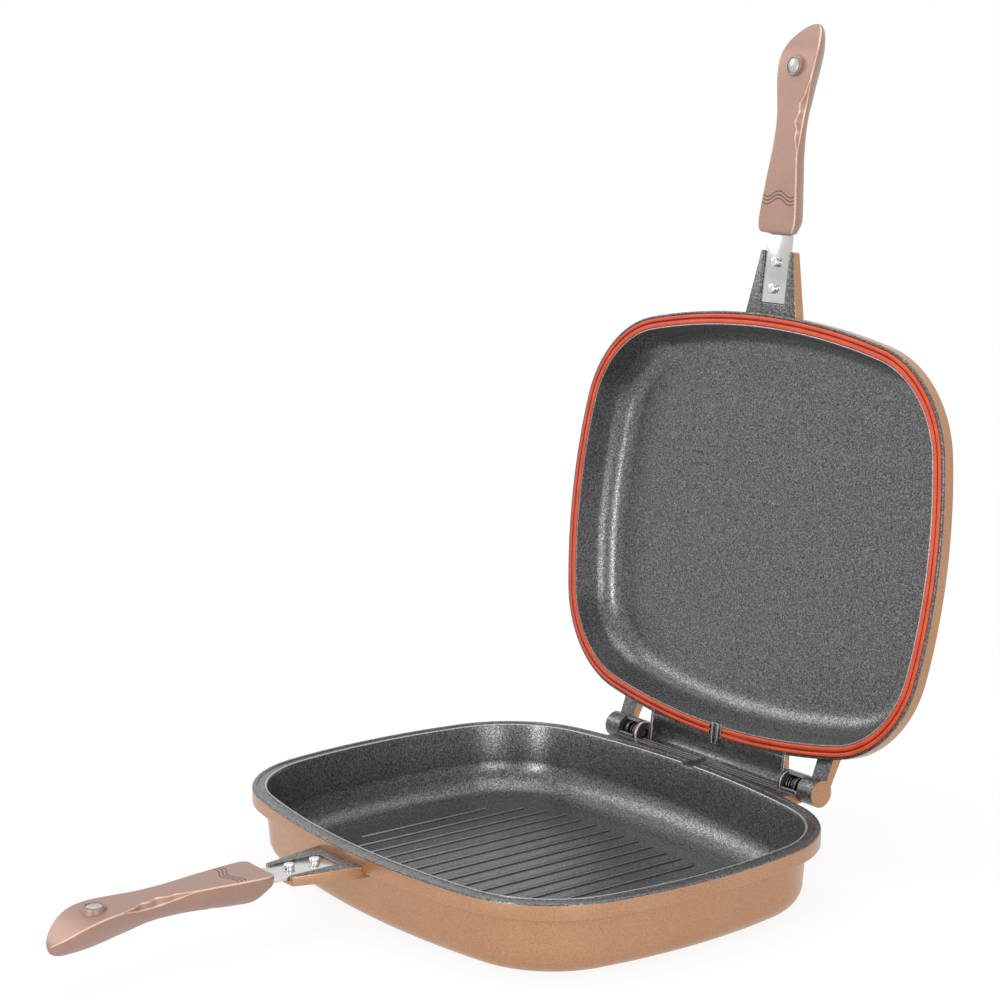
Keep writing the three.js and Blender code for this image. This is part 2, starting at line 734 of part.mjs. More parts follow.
// Places on the underside's curve, as shares of the turn from the top edge to the keel.
const gripTurnShares = [0, 0.14, 0.29, 0.44, 0.59, 0.74, 0.88];

// The top edge is rounded by its own radius, or cut to a sloping facet, down to the side.
function gripTopEdge(width, top, round, cut, sideStart) {
  const flat = [width - round - facetDepth * cut, top];
  const bulge = round * (Math.SQRT1_2 - 0.5) * (1 - cut);
  const middle = [(flat[0] + sideStart[0]) / 2 + bulge, (flat[1] + sideStart[1]) / 2 + bulge];
  return [flat, middle];
}

// One half of a section: the top edge, then the rounded side down towards the keel.
function gripHalfSection(width, top, bottom, fullness, cut) {
  const round = Math.min(gripEdgeRound, width / 3, (top - bottom) / 4);
  const power = 2 / fullness;
  const start = Math.asin(((round + facetHeight * cut) / (top - bottom)) ** (1 / power));
  const side = gripTurnShares.map((share) => {
    const angle = start + (Math.PI / 2 - start) * share;
    return [width * Math.cos(angle) ** power, top + (bottom - top) * Math.sin(angle) ** power];
  });
  return [...gripTopEdge(width, top, round, cut, side[0]), ...side];
}

// The thumb facet lies on one side only; facetSide is the sign of its x.
function gripSection(width, top, bottom, fullness, cut, facetSide) {
  const [right, left] = facetSide > 0 ? [cut, 0] : [0, cut];
  const rightHalf = gripHalfSection(width, top, bottom, fullness, right);
  const leftHalf = gripHalfSection(width, top, bottom, fullness, left);
  return [[0, top], ...rightHalf, [0, bottom], ...leftHalf.reverse().map(([x, z]) => [-x, z])];
}

function gripBody(facetSide) {
  const positions = [];
  const sections = gripPlaceShares.map((share, index) => {
    const top = -gripDrop - gripThickness * gripTopShares[index];
    const bottom = -gripDrop - gripThickness * gripBottomShares[index];
    const width = gripHalfWidth * gripWidthShares[index];
    return {
      y: gripNearY - gripLength * share,
      points: gripSection(width, top, bottom, gripFullness[index], facetCutShares[index], facetSide),
      middle: (top + bottom) / 2,
    };
  });
  const count = sections[0].points.length;
  for (const { y, points } of sections) points.forEach(([x, z]) => positions.push(x, y, z));
  const indices = [];
  for (let row = 0; row < sections.length - 1; row += 1) {
    for (let side = 0; side < count; side += 1) {
      const here = row * count + side;
      const next = row * count + (side + 1) % count;
      indices.push(here, here + count, next + count, here, next + count, next);
    }
  }
  for (const [row, facesPan] of [[0, true], [sections.length - 1, false]]) {
    const centre = positions.length / 3;
    positions.push(0, sections[row].y, sections[row].middle);
    for (let side = 0; side < count; side += 1) {
      const here = row * count + side;
      const next = row * count + (side + 1) % count;
      indices.push(centre, facesPan ? here : next, facesPan ? next : here);
    }
  }
  const geometry = new THREE.BufferGeometry();
  geometry.setAttribute('position', new THREE.Float32BufferAttribute(positions, 3));
  geometry.setIndex(indices);
  return solid(geometry);
}

function grip(facetSide) {
  const bossTop = -magnetBelowRim - fitGap;
  const bossRadius = pocketRadius + bossWall;
  const boss = turnedAlongZ([
    [0, bossTop - bossSide],
    [bossRadius + bossWall, bossTop - bossSide],
    [bossRadius, bossTop - fitGap],
    [bossRadius - fitGap, bossTop],
    [0, bossTop],
  ], 24, 0, magnetY);
  let shape = gripBody(facetSide).add(boss);
  shape = shape.subtract(rodAlongZ(pocketRadius, pocketFloorZ, cutOverrun, 24, 0, magnetY));
  const half = tangWidth / 2 + fitGap;
  const neckHalf = tangNeckWidth / 2 + fitGap;
  const slot = prismAlongZ([
    [-half, gripNearY + cutOverrun],
    [-half, gripNearY - fitGap],
    [-neckHalf, gripNearY - tangTaper - fitGap],
    [-neckHalf, tangTipY - fitGap],
    [neckHalf, tangTipY - fitGap],
    [neckHalf, gripNearY - tangTaper - fitGap],
    [half, gripNearY - fitGap],
    [half, gripNearY + cutOverrun],
  ], tangBottom - fitGap, tangTop + fitGap);
  shape = shape.subtract(slot);
  const gripBottom = -gripDrop - gripThickness * Math.max(...gripBottomShares);
  shape = shape.subtract(rodAlongZ(screwRadius + fitGap, gripBottom, -gripDrop - gripSkin, 16, 0, screwY));
  const headTop = screwHeadBottom() + screwHeadHeight + fitGap;
  return shape.subtract(rodAlongZ(screwHeadRadius + fitGap, gripBottom, headTop, 20, 0, screwY));
}

function screwHeadBottom() {
  return -gripDrop - screwHeadDrop;
}

// The screw comes up from under the grip, passes the tang and bites the upper skin.
function gripScrew() {
  const bottom = screwHeadBottom();
  const headTop = bottom + screwHeadHeight;
  const tip = -gripDrop - gripSkin - fitGap;
  return turnedAlongZ([
    [0, bottom],
    [screwHeadRadius * 0.75, bottom],
    [screwHeadRadius, bottom + screwHeadHeight * 0.35],
    [screwHeadRadius, headTop],
    [screwRadius, headTop],
    [screwRadius, tip],
    [0, tip],
  ], 16, 0, screwY);
}

function magnetCup() {
  const floor = pocketFloorZ + fitGap;
  const top = -magnetBelowRim;
  return turnedAlongZ([
    [0, floor],
    [cupRadius, floor],
    [cupRadius, top],
    [cupInnerRadius, top],
    [cupInnerRadius, floor + cupWall],
    [0, floor + cupWall],
  ], 24, 0, magnetY);
}

function magnet() {
  const bottom = pocketFloorZ + 2 * fitGap + cupWall;
  return rodAlongZ(magnetRadius, bottom, bottom + magnetThickness, 24, 0, magnetY);
}

// Everything that one pan's handle is made of, named for that pan. The thumb facets of both grips
// end up on the same side, so the lid's lies on the other side in its own turned frame.
function handlePieces(pan, facetSide) {
  const pieces = [
    named(`${pan}_tang`, tang(), finish(0xc9cacb, 0.16, 1)),
    named(`${pan}_grip`, grip(facetSide), finish(0xb3917f, 0.42, 0.35)),
    named(`${pan}_magnet_cup`, magnetCup(), finish(0xc4c2c0, 0.3, 1)),
    named(`${pan}_magnet`, magnet(), finish(0x9a9b9d, 0.38, 0.9)),
    named(`${pan}_grip_screw`, gripScrew(), finish(0xa9abad, 0.3, 1)),
  ];
  for (const [place, y] of rivetPlaces()) {
    pieces.push(named(`${pan}_rivet_${place}`, rivet(y), finish(0xd4d5d6, 0.2, 1)));
  }
  return pieces;
}

const lower = new THREE.Group();
lower.position.z = lowerPanHeight;
lower.add(named('lower_pan', lowerPan(), finish(0xc08c66, 0.38, 0.6)));
lower.add(...handlePieces('lower', 1));
for (const [name, side] of [['left', -1], ['right', 1]]) {
  lower.add(named(`${name}_hinge_pin`, hingePin(side), finish(0x8d8f91, 0.35, 1)));
  lower.add(named(`${name}_hinge_spring`, hingeSpring(side), finish(0xa5a7a9, 0.3, 1)));
}

// The lid's own frame is turned over about Y, set on the seal, then swung open about the hinge.
const lid = new THREE.Group();
lid.rotation.y = Math.PI;
lid.position.set(0, -hingeY, lidRimGap - hingeAboveRim);
lid.add(named('upper_pan', lidPan(), finish(0xc08c66, 0.38, 0.6)));
lid.add(named('lid_seal', seal(), finish(0xe05a33, 0.55, 0)));
lid.add(...handlePieces('upper', -1));

const swing = new THREE.Group();
swing.position.set(0, hingeY, lowerPanHeight + hingeAboveRim);
swing.rotation.x = -openAngle * degree;
swing.add(lid);

const flipPan = new THREE.Group();
flipPan.add(lower, swing);

export default flipPan;
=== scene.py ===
# Double sided flip pan: the finished look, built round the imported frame.
import bpy
import bmesh
from math import asin, sin, cos, pi, radians
from mathutils import Matrix, Vector


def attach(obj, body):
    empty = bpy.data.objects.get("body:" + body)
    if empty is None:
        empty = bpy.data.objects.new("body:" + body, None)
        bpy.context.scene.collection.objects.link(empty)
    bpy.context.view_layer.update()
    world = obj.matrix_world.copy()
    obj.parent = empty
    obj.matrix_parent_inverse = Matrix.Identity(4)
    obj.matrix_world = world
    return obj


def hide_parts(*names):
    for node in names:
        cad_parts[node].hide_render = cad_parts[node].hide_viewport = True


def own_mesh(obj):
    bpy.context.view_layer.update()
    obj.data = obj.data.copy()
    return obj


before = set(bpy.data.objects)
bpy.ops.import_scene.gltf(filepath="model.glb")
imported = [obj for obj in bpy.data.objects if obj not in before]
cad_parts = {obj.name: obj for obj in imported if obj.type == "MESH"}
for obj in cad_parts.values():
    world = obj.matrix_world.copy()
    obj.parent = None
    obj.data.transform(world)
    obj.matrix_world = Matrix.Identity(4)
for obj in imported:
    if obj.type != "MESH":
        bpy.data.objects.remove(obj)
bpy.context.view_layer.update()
print("frame loaded:", len(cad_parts), "nodes")

mm = 0.001
studio = bpy.context.scene

# the outline of both rims, and where the lid stands
pan = {
    "halfLength": 160.0, "halfDepth": 127.8, "height": 43.0,
    "longRadius": 501.0, "shortRadius": 345.0, "cornerRadius": 70.0,
}
hinge = {"y": 139.3, "aboveRim": 0.9, "lidRimGap": 1.0, "openAngle": 97.5, "barrelRadius": 8.0}
lidHingeZ = hinge["lidRimGap"] - hinge["aboveRim"]
bothSides = ((-1, "left"), (1, "right"))

# each half is drawn with its rim at z = 0 and its body below; the lid is turned over and swung open
lowerPlace = Matrix.Translation((0, 0, pan["height"]))
lidPlace = (
    Matrix.Translation((0, hinge["y"], pan["height"] + hinge["aboveRim"]))
    @ Matrix.Rotation(-radians(hinge["openAngle"]), 4, "X")
    @ Matrix.Translation((0, -hinge["y"], lidHingeZ))
    @ Matrix.Rotation(pi, 4, "Y")
)
halves = {
    "lower": {"place": lowerPlace, "body": "lower_half", "facetSide": 1},
    "upper": {"place": lidPlace, "body": "lid_half", "facetSide": -1},
}


# materials
def linear(hexColour):
    # sRGB hex to the linear colour that the shaders take
    channels = [int(hexColour[i:i + 2], 16) / 255 for i in (1, 3, 5)]
    return [c / 12.92 if c <= 0.04045 else ((c + 0.055) / 1.055) ** 2.4 for c in channels] + [1.0]


def addNode(tree, kind, settings=None, **links):
    # one shader node, its settings and what feeds its inputs; the setting "tones" has a ramp's stops
    node = tree.nodes.new("ShaderNode" + kind)
    for key, value in (settings or {}).items():
        if key == "tones":
            elements = node.color_ramp.elements
            while len(elements) < len(value):
                elements.new(0.5)
            for element, (stop, colour) in zip(elements, value):
                element.position = stop
                element.color = colour
        elif isinstance(key, int) or key in node.inputs.keys():
            node.inputs[key].default_value = value
        else:
            setattr(node, key, value)
    for key, source in links.items():
        slot = int(key[2:]) if key.startswith("in") and key[2:].isdigit() else key.replace("_", " ")
        tree.links.new(source, node.inputs[slot])
    return node


def tonesOf(look, stops):
    # the two or three tones of a look, each with its place on the ramp
    return list(zip(stops, [linear(look[key]) for key in ("dark", "colour", "light") if key in look]))


def newMaterial(name):
    material = bpy.data.materials.new(name)
    material.use_nodes = True
    tree = material.node_tree
    tree.nodes.clear()
    place = addNode(tree, "TexCoord").outputs["Object"]
    return material, tree, place


# how the patterns are read: the noise values of each tone, the share of the wide cloud in a paint, how
# far the roughness swings to either side, and the real height of each skin's relief
pattern = {
    "noiseLow": 0.3, "noiseHigh": 0.7, "paintStops": (0.34, 0.5, 0.66), "coatStops": (0.36, 0.5, 0.64),
    "plainStops": (0.35, 0.65), "speckFrom": 0.88, "cloudShare": 0.25,
    "paintSwing": 0.03, "coatSwing": -0.04, "plainSwing": 0.05, "paintRelief": 0.0001, "coatRelief": 0.0002,
}


def perMetre(sizeMm):
    # pattern scale from a real size in millimetres
    return 1000.0 / sizeMm


def surface(tree, look, colour, uneven, swing, skin, relief):
    # the roughness follows one pattern to both sides of its middle, and the fine relief another
    rough = addNode(tree, "MapRange", {
        "From Min": pattern["noiseLow"], "From Max": pattern["noiseHigh"],
        "To Min": look["roughness"] - swing, "To Max": look["roughness"] + swing,
    }, Value=uneven)
    bump = addNode(tree, "Bump", {"Strength": look["bump"], "Distance": relief}, Height=skin)
    shader = addNode(tree, "BsdfPrincipled", {"IOR": 1.5, "Metallic": look["metallic"]},
                     Base_Color=colour, Roughness=rough.outputs[0], Normal=bump.outputs[0])
    addNode(tree, "OutputMaterial", Surface=shader.outputs["BSDF"])


def metallicPaint(look):
    # sprayed metallic film: fine flake under a satin clear, in slightly uneven clouds; real flakes
    # are under 0.1 mm, too fine to show, and are drawn as coarse as they need to be seen
    material, tree, place = newMaterial(look["name"])
    flake, cloud = [addNode(tree, "TexNoise", {"Scale": perMetre(look[key]), "Detail": 2.0},
                            Vector=place).outputs["Fac"] for key in ("flakeMm", "cloudMm")]
    both = addNode(tree, "Mix", {"data_type": "FLOAT", "Factor": pattern["cloudShare"]},
                   in2=flake, in3=cloud)
    colour = addNode(tree, "ValToRGB", {"tones": tonesOf(look, pattern["paintStops"])},
                     Fac=both.outputs[0]).outputs[0]
    surface(tree, look, colour, cloud, pattern["paintSwing"], flake, pattern["paintRelief"])
    return material


def speckledCoating(look):
    # dark baked film with pale mineral specks and an orange-peel skin; the real grains and specks are
    # about 0.2 mm, too fine to show, and are drawn as coarse as they need to be seen
    material, tree, place = newMaterial(look["name"])
    grain = addNode(tree, "TexNoise", {"Scale": perMetre(look["grainMm"]), "Detail": 3.0, "Roughness": 0.7},
                    Vector=place).outputs["Fac"]
    speck = addNode(tree, "TexVoronoi", {"Scale": perMetre(look["speckMm"])}, Vector=place)
    chance = addNode(tree, "SeparateColor", None, Color=speck.outputs["Color"])
    base = addNode(tree, "ValToRGB", {"tones": tonesOf(look, pattern["coatStops"])}, Fac=grain)
    speckStops = ((pattern["speckFrom"], (0, 0, 0, 1)), (1.0, (1, 1, 1, 1)))
    spot = addNode(tree, "ValToRGB", {"tones": speckStops}, Fac=chance.outputs[0])
    blend = addNode(tree, "Mix", {"data_type": "RGBA", 7: linear(look["speck"])},
                    in0=spot.outputs[0], in6=base.outputs[0])
    surface(tree, look, blend.outputs[2], grain, pattern["coatSwing"], grain, pattern["coatRelief"])
    return material


def plainSurface(look):
    # one base tone with a faint cloud and a fine skin, for moulded, turned and rolled small parts; a
    # metal's real skin is under 0.1 mm, too fine to show, and is drawn coarser in the same way
    material, tree, place = newMaterial(look["name"])
    if "stretch" in look:
        place = addNode(tree, "Mapping", {"Scale": look["stretch"]}, Vector=place).outputs[0]
    sizes = (("cloudMm", 3.0), ("skinMm", 2.0))
    cloud, fine = [addNode(tree, "TexNoise", {"Scale": perMetre(look[key]), "Detail": detail},
                           Vector=place).outputs["Fac"] for key, detail in sizes]
    colour = addNode(tree, "ValToRGB", {"tones": tonesOf(look, pattern["plainStops"])}, Fac=cloud).outputs[0]
    surface(tree, look, colour, fine, pattern["plainSwing"], fine, pattern["paintRelief"])
    return material


# sprayed copper lacquer on the outside of the castings: satin, with a soft metallic sheen
copper = metallicPaint({
    "name": "sprayedCopperLacquer", "dark": "#a57b5e", "colour": "#b18767", "light": "#be9474",
    "flakeMm": 0.7, "cloudMm": 60, "roughness": 0.32, "metallic": 0.78, "bump": 0.05})
# sprayed and baked mineral-filled PTFE: dark, with a fine glitter
coating = speckledCoating({
    "name": "speckledPtfeCoat", "dark": "#343435", "colour": "#595959", "light": "#828283",
    "speck": "#8c8b89", "grainMm": 0.95, "speckMm": 0.6, "roughness": 0.29, "metallic": 0.7, "bump": 0.2})
film = {"cloudMm": 1.2, "skinMm": 0.5, "bump": 0.2}
# the same film drawn pale along sharp casting edges and lips: a painted highlight
coatEdgeHighlight = plainSurface(film | {
    "name": "paintedHighlightPtfeEdge", "dark": "#8f8e8e", "light": "#b9b7b5", "roughness": 0.34, "metallic": 0.5})
# the film drawn darker on the ribs' upright sides: painted shade
ribSideShade = plainSurface(film | {
    "name": "pooledPtfeCoat", "dark": "#3a3a3b", "light": "#484849", "roughness": 0.36, "metallic": 0.4})
# the film drawn lighter on the ribs' crowns: a painted highlight
ribCrownHighlight = plainSurface(film | {
    "name": "crownPtfeCoat", "dark": "#6e6e6e", "light": "#8a8a89", "roughness": 0.34, "metallic": 0.5})
# moulded silicone, matt and saturated, and the shadowed bottom of its groove
rubber = {"cloudMm": 12, "skinMm": 0.8, "metallic": 0.0, "bump": 0.1}
silicone = plainSurface(rubber | {
    "name": "mouldedSilicone", "dark": "#b13c18", "light": "#bd471f", "roughness": 0.45})
siliconeGroove = plainSurface(rubber | {
    "name": "mouldedSiliconeGroove", "dark": "#861c0a", "light": "#94250f", "roughness": 0.6})
# moulded phenolic plastic under a satin rose-taupe metallic paint
gripPaint = metallicPaint({
    "name": "satinGripPaint", "dark": "#8e7065", "colour": "#967769", "light": "#9e7f71",
    "flakeMm": 0.5, "cloudMm": 24, "roughness": 0.4, "metallic": 0.35, "bump": 0.06})
# the same paint drawn paler and a little glossier along the moulded edge lines: a painted highlight
gripEdgeHighlight = metallicPaint({
    "name": "paintedHighlightGripEdge", "dark": "#bb9984", "colour": "#c6a48f", "light": "#d0af9b",
    "flakeMm": 0.5, "cloudMm": 10, "roughness": 0.34, "metallic": 0.35, "bump": 0.06})
# shadowed bottom of the moulded wave grooves
grooveShade = plainSurface({
    "name": "mouldedGrooveShade", "dark": "#3c2a22", "light": "#4a352b", "cloudMm": 5, "skinMm": 0.5,
    "roughness": 0.6, "metallic": 0.1, "bump": 0.1})
# rolled and polished stainless strip, with its grain along the strip
polishedSteel = plainSurface({
    "name": "polishedStainless", "dark": "#bdbbb9", "light": "#d3d1cf", "cloudMm": 28, "skinMm": 0.4,
    "stretch": (1.0, 0.25, 1.0), "roughness": 0.2, "metallic": 1.0, "bump": 0.02})
# headed and barrel-polished stainless
rivetSteel = plainSurface({
    "name": "polishedRivetSteel", "dark": "#cfd0d1", "light": "#dedfe0", "cloudMm": 2, "skinMm": 0.4,
    "roughness": 0.14, "metallic": 1.0, "bump": 0.05})
# nickel-plated sintered magnet, satin grey; the plated screws look the same
plated = {"cloudMm": 4, "skinMm": 0.3, "bump": 0.05}
magnetNickel = plainSurface(plated | {
    "name": "satinNickelPlate", "dark": "#a9a5a2", "light": "#b9b5b1", "roughness": 0.36, "metallic": 0.75})
# deep-drawn and nickel-plated steel cup, a little darker than its magnet
cupSteel = plainSurface(plated | {
    "name": "platedCupSteel", "dark": "#8b847e", "light": "#a19a93", "roughness": 0.34, "metallic": 0.9})
# turned and blackened carbon steel, with a film of oil
pinSteel = plainSurface({
    "name": "blackenedPinSteel", "dark": "#353638", "light": "#5b5d5f", "cloudMm": 2, "skinMm": 0.3,
    "roughness": 0.3, "metallic": 1.0, "bump": 0.1})
# drawn and oil-hardened spring wire, smoother than the pin
springSteel = plainSurface({
    "name": "drawnSpringWire", "dark": "#47484a", "light": "#67696b", "cloudMm": 2, "skinMm": 0.3,
    "roughness": 0.28, "metallic": 1.0, "bump": 0.05})
# painted shade on the barrels' inner ends, in a dark maroon brown
barrelEndShade = plainSurface({
    "name": "mixedLacquerFilm", "dark": "#3a2a2c", "light": "#4a3637", "cloudMm": 3, "skinMm": 0.5,
    "roughness": 0.32, "metallic": 0.4, "bump": 0.1})
# faces of a casting have material 0 where it is lacquered, 1 where it is coated and 2 on edges drawn pale as
# a painted highlight
casting = [copper, coating, coatEdgeHighlight]
print("materials made")


# modelling helpers
def meshFrom(bm, name):
    mesh = bpy.data.meshes.new(name)
    bm.to_mesh(mesh)
    bm.free()
    return mesh


def placed(name, content):
    # an object in the scene with that mesh, lamp or camera
    thing = bpy.data.objects.new(name, content)
    studio.collection.objects.link(thing)
    return thing


def faceOut(bm, before=()):
    # the faces that came after a step, or all of them, are turned outwards
    bmesh.ops.recalc_face_normals(bm, faces=[f for f in bm.faces if f not in before])


def keepPiece(bm, name, half, materials, smoothTo=35, replaces=(), body=None):
    # the drawing in millimetres becomes a finished object in metres that rides on its half
    bmesh.ops.transform(bm, matrix=Matrix.Scale(mm, 4) @ halves[half]["place"], verts=bm.verts)
    mesh = meshFrom(bm, name)
    for material in materials:
        mesh.materials.append(material)
    mesh.shade_smooth()
    mesh.set_sharp_from_angle(angle=radians(smoothTo))
    piece = placed(name, mesh)
    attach(piece, body or halves[half]["body"])
    if replaces:
        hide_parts(*replaces)
    return piece


def coatNew(bm, before, material):
    # the faces that came after a step get that material
    for face in set(bm.faces) - set(before):
        face.material_index = material


def middleOf(face):
    return face.calc_center_median()


def closeHoles(bm):
    bmesh.ops.holes_fill(bm, edges=[e for e in bm.edges if e.is_boundary], sides=0)


def mirrored(right):
    # the right half of an outline, and then the left one back to its start
    return right + [(-x, y) for x, y in reversed(right)]


def spread(start, end, steps):
    return [start + (end - start) * i / steps for i in range(steps + 1)]


def roundStep(centreInset, centreZ, radius, fromAngle, toAngle, steps):
    # places on a fillet, as inset and height
    angles = [radians(a) for a in spread(fromAngle, toAngle, steps)]
    return [(centreInset + radius * cos(a), centreZ + radius * sin(a)) for a in angles]


def outlineFace(bm, z):
    # a quarter of the rim from three spun arcs, mirrored twice and filled
    longY = pan["halfDepth"] - pan["longRadius"]
    shortX = pan["halfLength"] - pan["shortRadius"]
    toLong = pan["longRadius"] - pan["cornerRadius"]
    toShort = pan["shortRadius"] - pan["cornerRadius"]
    gap = Vector((shortX, -longY))
    along = (toLong ** 2 - toShort ** 2 + gap.length ** 2) / (2 * gap.length)
    across = (toLong ** 2 - along ** 2) ** 0.5
    unit = gap.normalized()
    corner = Vector((0, longY)) + unit * along + Vector((unit.y, -unit.x)) * across
    shortEnd = (corner - Vector((shortX, 0))).angle_signed(Vector((1, 0)))
    longEnd = (corner - Vector((0, longY))).angle_signed(Vector((1, 0)))
    before = set(bm.verts)
    last = bm.verts.new((pan["halfLength"], 0, z))
    for centre, angle, steps in (
        ((shortX, 0, z), shortEnd, 10),
        ((corner.x, corner.y, z), longEnd - shortEnd, 26),
        ((0, longY, z), pi / 2 - longEnd, 12),
    ):
        turned = bmesh.ops.spin(bm, geom=[last], cent=centre, axis=(0, 0, 1), angle=angle, steps=steps)
        last = turned["geom_last"][0]
    for axis in ("X", "Y"):
        verts = [v for v in bm.verts if v not in before]
        edges = {e for v in verts for e in v.link_edges}
        bmesh.ops.mirror(bm, geom=verts + list(edges), axis=axis, merge_dist=0.001)
    ring = [v for v in bm.verts if v not in before]
    bmesh.ops.remove_doubles(bm, verts=ring, dist=0.001)
    rim = {e for v in bm.verts if v not in before for e in v.link_edges}
    face = bmesh.ops.contextual_create(bm, geom=list(rim))["faces"][0]
    face.normal_update()
    if face.normal.z < 0:
        face.normal_flip()
    return face


def walkProfile(bm, face, start, steps):
    # insets the face again and again, so that its ring follows the profile; a step names its material
    inset, z = start
    sense = 1 if face.normal.z > 0 else -1
    for nextInset, nextZ, material in steps:
        made = bmesh.ops.inset_individual(bm, faces=[face], thickness=nextInset - inset,
                                          depth=sense * (nextZ - z), use_even_offset=True)
        for ring in made["faces"]:
            ring.material_index = material
        face.material_index = material
        inset, z = nextInset, nextZ
    return face


def panShell(shell, topSteps):
    # the casting: cavity from the top face, skirt and base from the lower one, bridged at the edge
    bm = bmesh.new()
    coatFrom = -shell["coatReach"]
    top = outlineFace(bm, coatFrom)
    topEdges = list(top.edges)
    edgeZ = shell["skirtRound"] - shell["skirt"]
    low = outlineFace(bm, edgeZ)
    lowEdges = list(low.edges)
    low.normal_flip()
    bmesh.ops.bridge_loops(bm, edges=topEdges + lowEdges)
    walkProfile(bm, top, (0, coatFrom), topSteps)
    fillet = shell["outerFillet"]
    foot = shell["inset"] + shell["draft"] + fillet
    root = shell["rootRound"]
    below = roundStep(shell["skirtRound"], edgeZ, shell["skirtRound"], 180, 270, 3)[1:]
    below += roundStep(shell["inset"] - root, -shell["skirt"] - root, root, 90, 0, 4)
    below += roundStep(foot, fillet - shell["height"], fillet, 180, 270, 12)
    walkProfile(bm, low, (0, edgeZ), [(i, z, 0) for i, z in below])
    faceOut(bm)
    return bm


def cavitySteps(shell):
    # the inner wall and its fillet, down to the floor
    centre = shell["floor"] - shell["height"] + shell["innerFillet"]
    fillet = roundStep(shell["innerWall"] + shell["innerFillet"], centre, shell["innerFillet"],
                       shell["filletFrom"], 270, 16)
    return [(i, z, 1) for i, z in fillet]


def cutAcross(bm, x, faces):
    # new edges where an upright plane across the pan meets these faces
    geom = {g for f in faces for g in (f, *f.edges, *f.verts)}
    bmesh.ops.bisect_plane(bm, geom=list(geom), dist=0.0001, plane_co=(x, 0, 0), plane_no=(1, 0, 0))


def cutNotch(bm, half, slope, depth, behind):
    # lowers a narrow stretch of the rear rim, with nearly upright ends
    for x in (-half - slope, -half, half, half + slope):
        cutAcross(bm, x, [f for f in bm.faces if middleOf(f).y > behind and middleOf(f).z > -2 * depth])
    for vert in bm.verts:
        if abs(vert.co.x) < half + slope / 2 and vert.co.y > behind and vert.co.z > -depth:
            vert.co.z = -depth


def turnedPiece(bm, profile, centre=(0, 0, 0), along="X", start=0.0, sweep=360.0, steps=48, looped=False):
    # spins a profile of (radius, place) round an axis; a part turn gets its two end faces
    frameOf = {"X": (Vector((1, 0, 0)), Vector((0, 1, 0))), "Z": (Vector((0, 0, 1)), Vector((1, 0, 0)))}
    axis, outward = frameOf[along]
    reach = outward.copy()
    reach.rotate(Matrix.Rotation(radians(start), 3, along))
    verts = [bm.verts.new(Vector(centre) + axis * place + reach * radius) for radius, place in profile]
    edges = [bm.edges.new(pair) for pair in zip(verts, verts[1:])]
    if looped:
        edges.append(bm.edges.new((verts[-1], verts[0])))
    full = sweep >= 360
    before = set(bm.faces)
    bmesh.ops.spin(bm, geom=verts + edges, cent=centre, axis=axis, angle=radians(sweep), steps=steps,
                   use_merge=full)
    bmesh.ops.remove_doubles(bm, verts=bm.verts, dist=0.0005)
    if not full:
        closeHoles(bm)
    faceOut(bm, before)


def onSide(profile, side):
    # a profile of (radius, place along the hinge), turned to the left for side -1
    return [(radius, side * x) for radius, x in profile]


def pushFaces(bm, faces, vec, keepStart=True):
    # grows the faces along a vector; the first ones may stay behind as the start's closing
    pushed = bmesh.ops.extrude_face_region(bm, geom=faces, use_keep_orig=keepStart)
    bmesh.ops.translate(bm, vec=vec, verts=[g for g in pushed["geom"] if isinstance(g, bmesh.types.BMVert)])


def plateFrom(bm, outline, plane, start, end):
    # a flat outline pushed along the axis that its plane leaves out
    place = {"yz": lambda a, b, c: (c, a, b), "xy": lambda a, b, c: (a, b, c)}[plane]
    before = set(bm.faces)
    face = bm.faces.new([bm.verts.new(place(a, b, start)) for a, b in outline])
    pushFaces(bm, [face], place(0, 0, end - start))
    faceOut(bm, before)


def softenEdges(bm, width, segments=2, above=40.0, edgeMaterial=-1):
    # rounds every edge sharper than an angle; the rounding may have a material of its own
    sharp = [e for e in bm.edges if len(e.link_faces) == 2 and e.calc_face_angle(0) > radians(above)]
    bmesh.ops.bevel(bm, geom=sharp, offset=width, offset_type="OFFSET", segments=segments, affect="EDGES",
                    profile=0.5, material=edgeMaterial, clamp_overlap=True)


def coatFacing(bm, direction, index, least=0.6, where=lambda f: True, only=None):
    # faces that look one way get that material
    towards = Vector(direction)
    for face in bm.faces:
        face.normal_update()
        chosen = only is None or face.material_index in only
        if chosen and face.normal.dot(towards) > least and where(face):
            face.material_index = index


# lower pan
lowerShell = {
    "height": 43.0, "skirt": 9.5, "skirtRound": 1.0, "rimRound": 1.0, "inset": 8.0, "draft": 1.5,
    "outerFillet": 12.0, "rootRound": 1.5, "floor": 3.0, "innerFillet": 20.0, "innerWall": 12.5,
    "filletFrom": 180, "coatReach": 1.0,
    # inset, height and material over the land, the seal's track and the inner lip; material 2 on the lip is
    # a painted highlight
    "top": [(2.4, 0, 1), (2.7, -0.15, 1), (2.9, -0.6, 1), (7.0, -0.6, 1), (7.3, -0.5, 1), (7.5, -0.1, 1),
            (7.7, 0, 2), (8.1, 0, 2), (8.35, -0.1, 2), (8.55, -0.4, 2), (8.99, -2.6, 1),
            (9.15, -3.4, 1)],
    "notchHalf": 5.2, "notchSlope": 0.3, "notchDepth": 1.6, "notchBehind": 110,
}
edge = roundStep(lowerShell["rimRound"], -lowerShell["rimRound"], lowerShell["rimRound"], 180, 90, 4)[1:]
bm = panShell(lowerShell, [(i, z, 1) for i, z in edge] + lowerShell["top"] + cavitySteps(lowerShell))
cutNotch(bm, lowerShell["notchHalf"], lowerShell["notchSlope"], lowerShell["notchDepth"],
         lowerShell["notchBehind"])
keepPiece(bm, "lowerPanShell", "lower", casting, replaces=("lower_pan",))

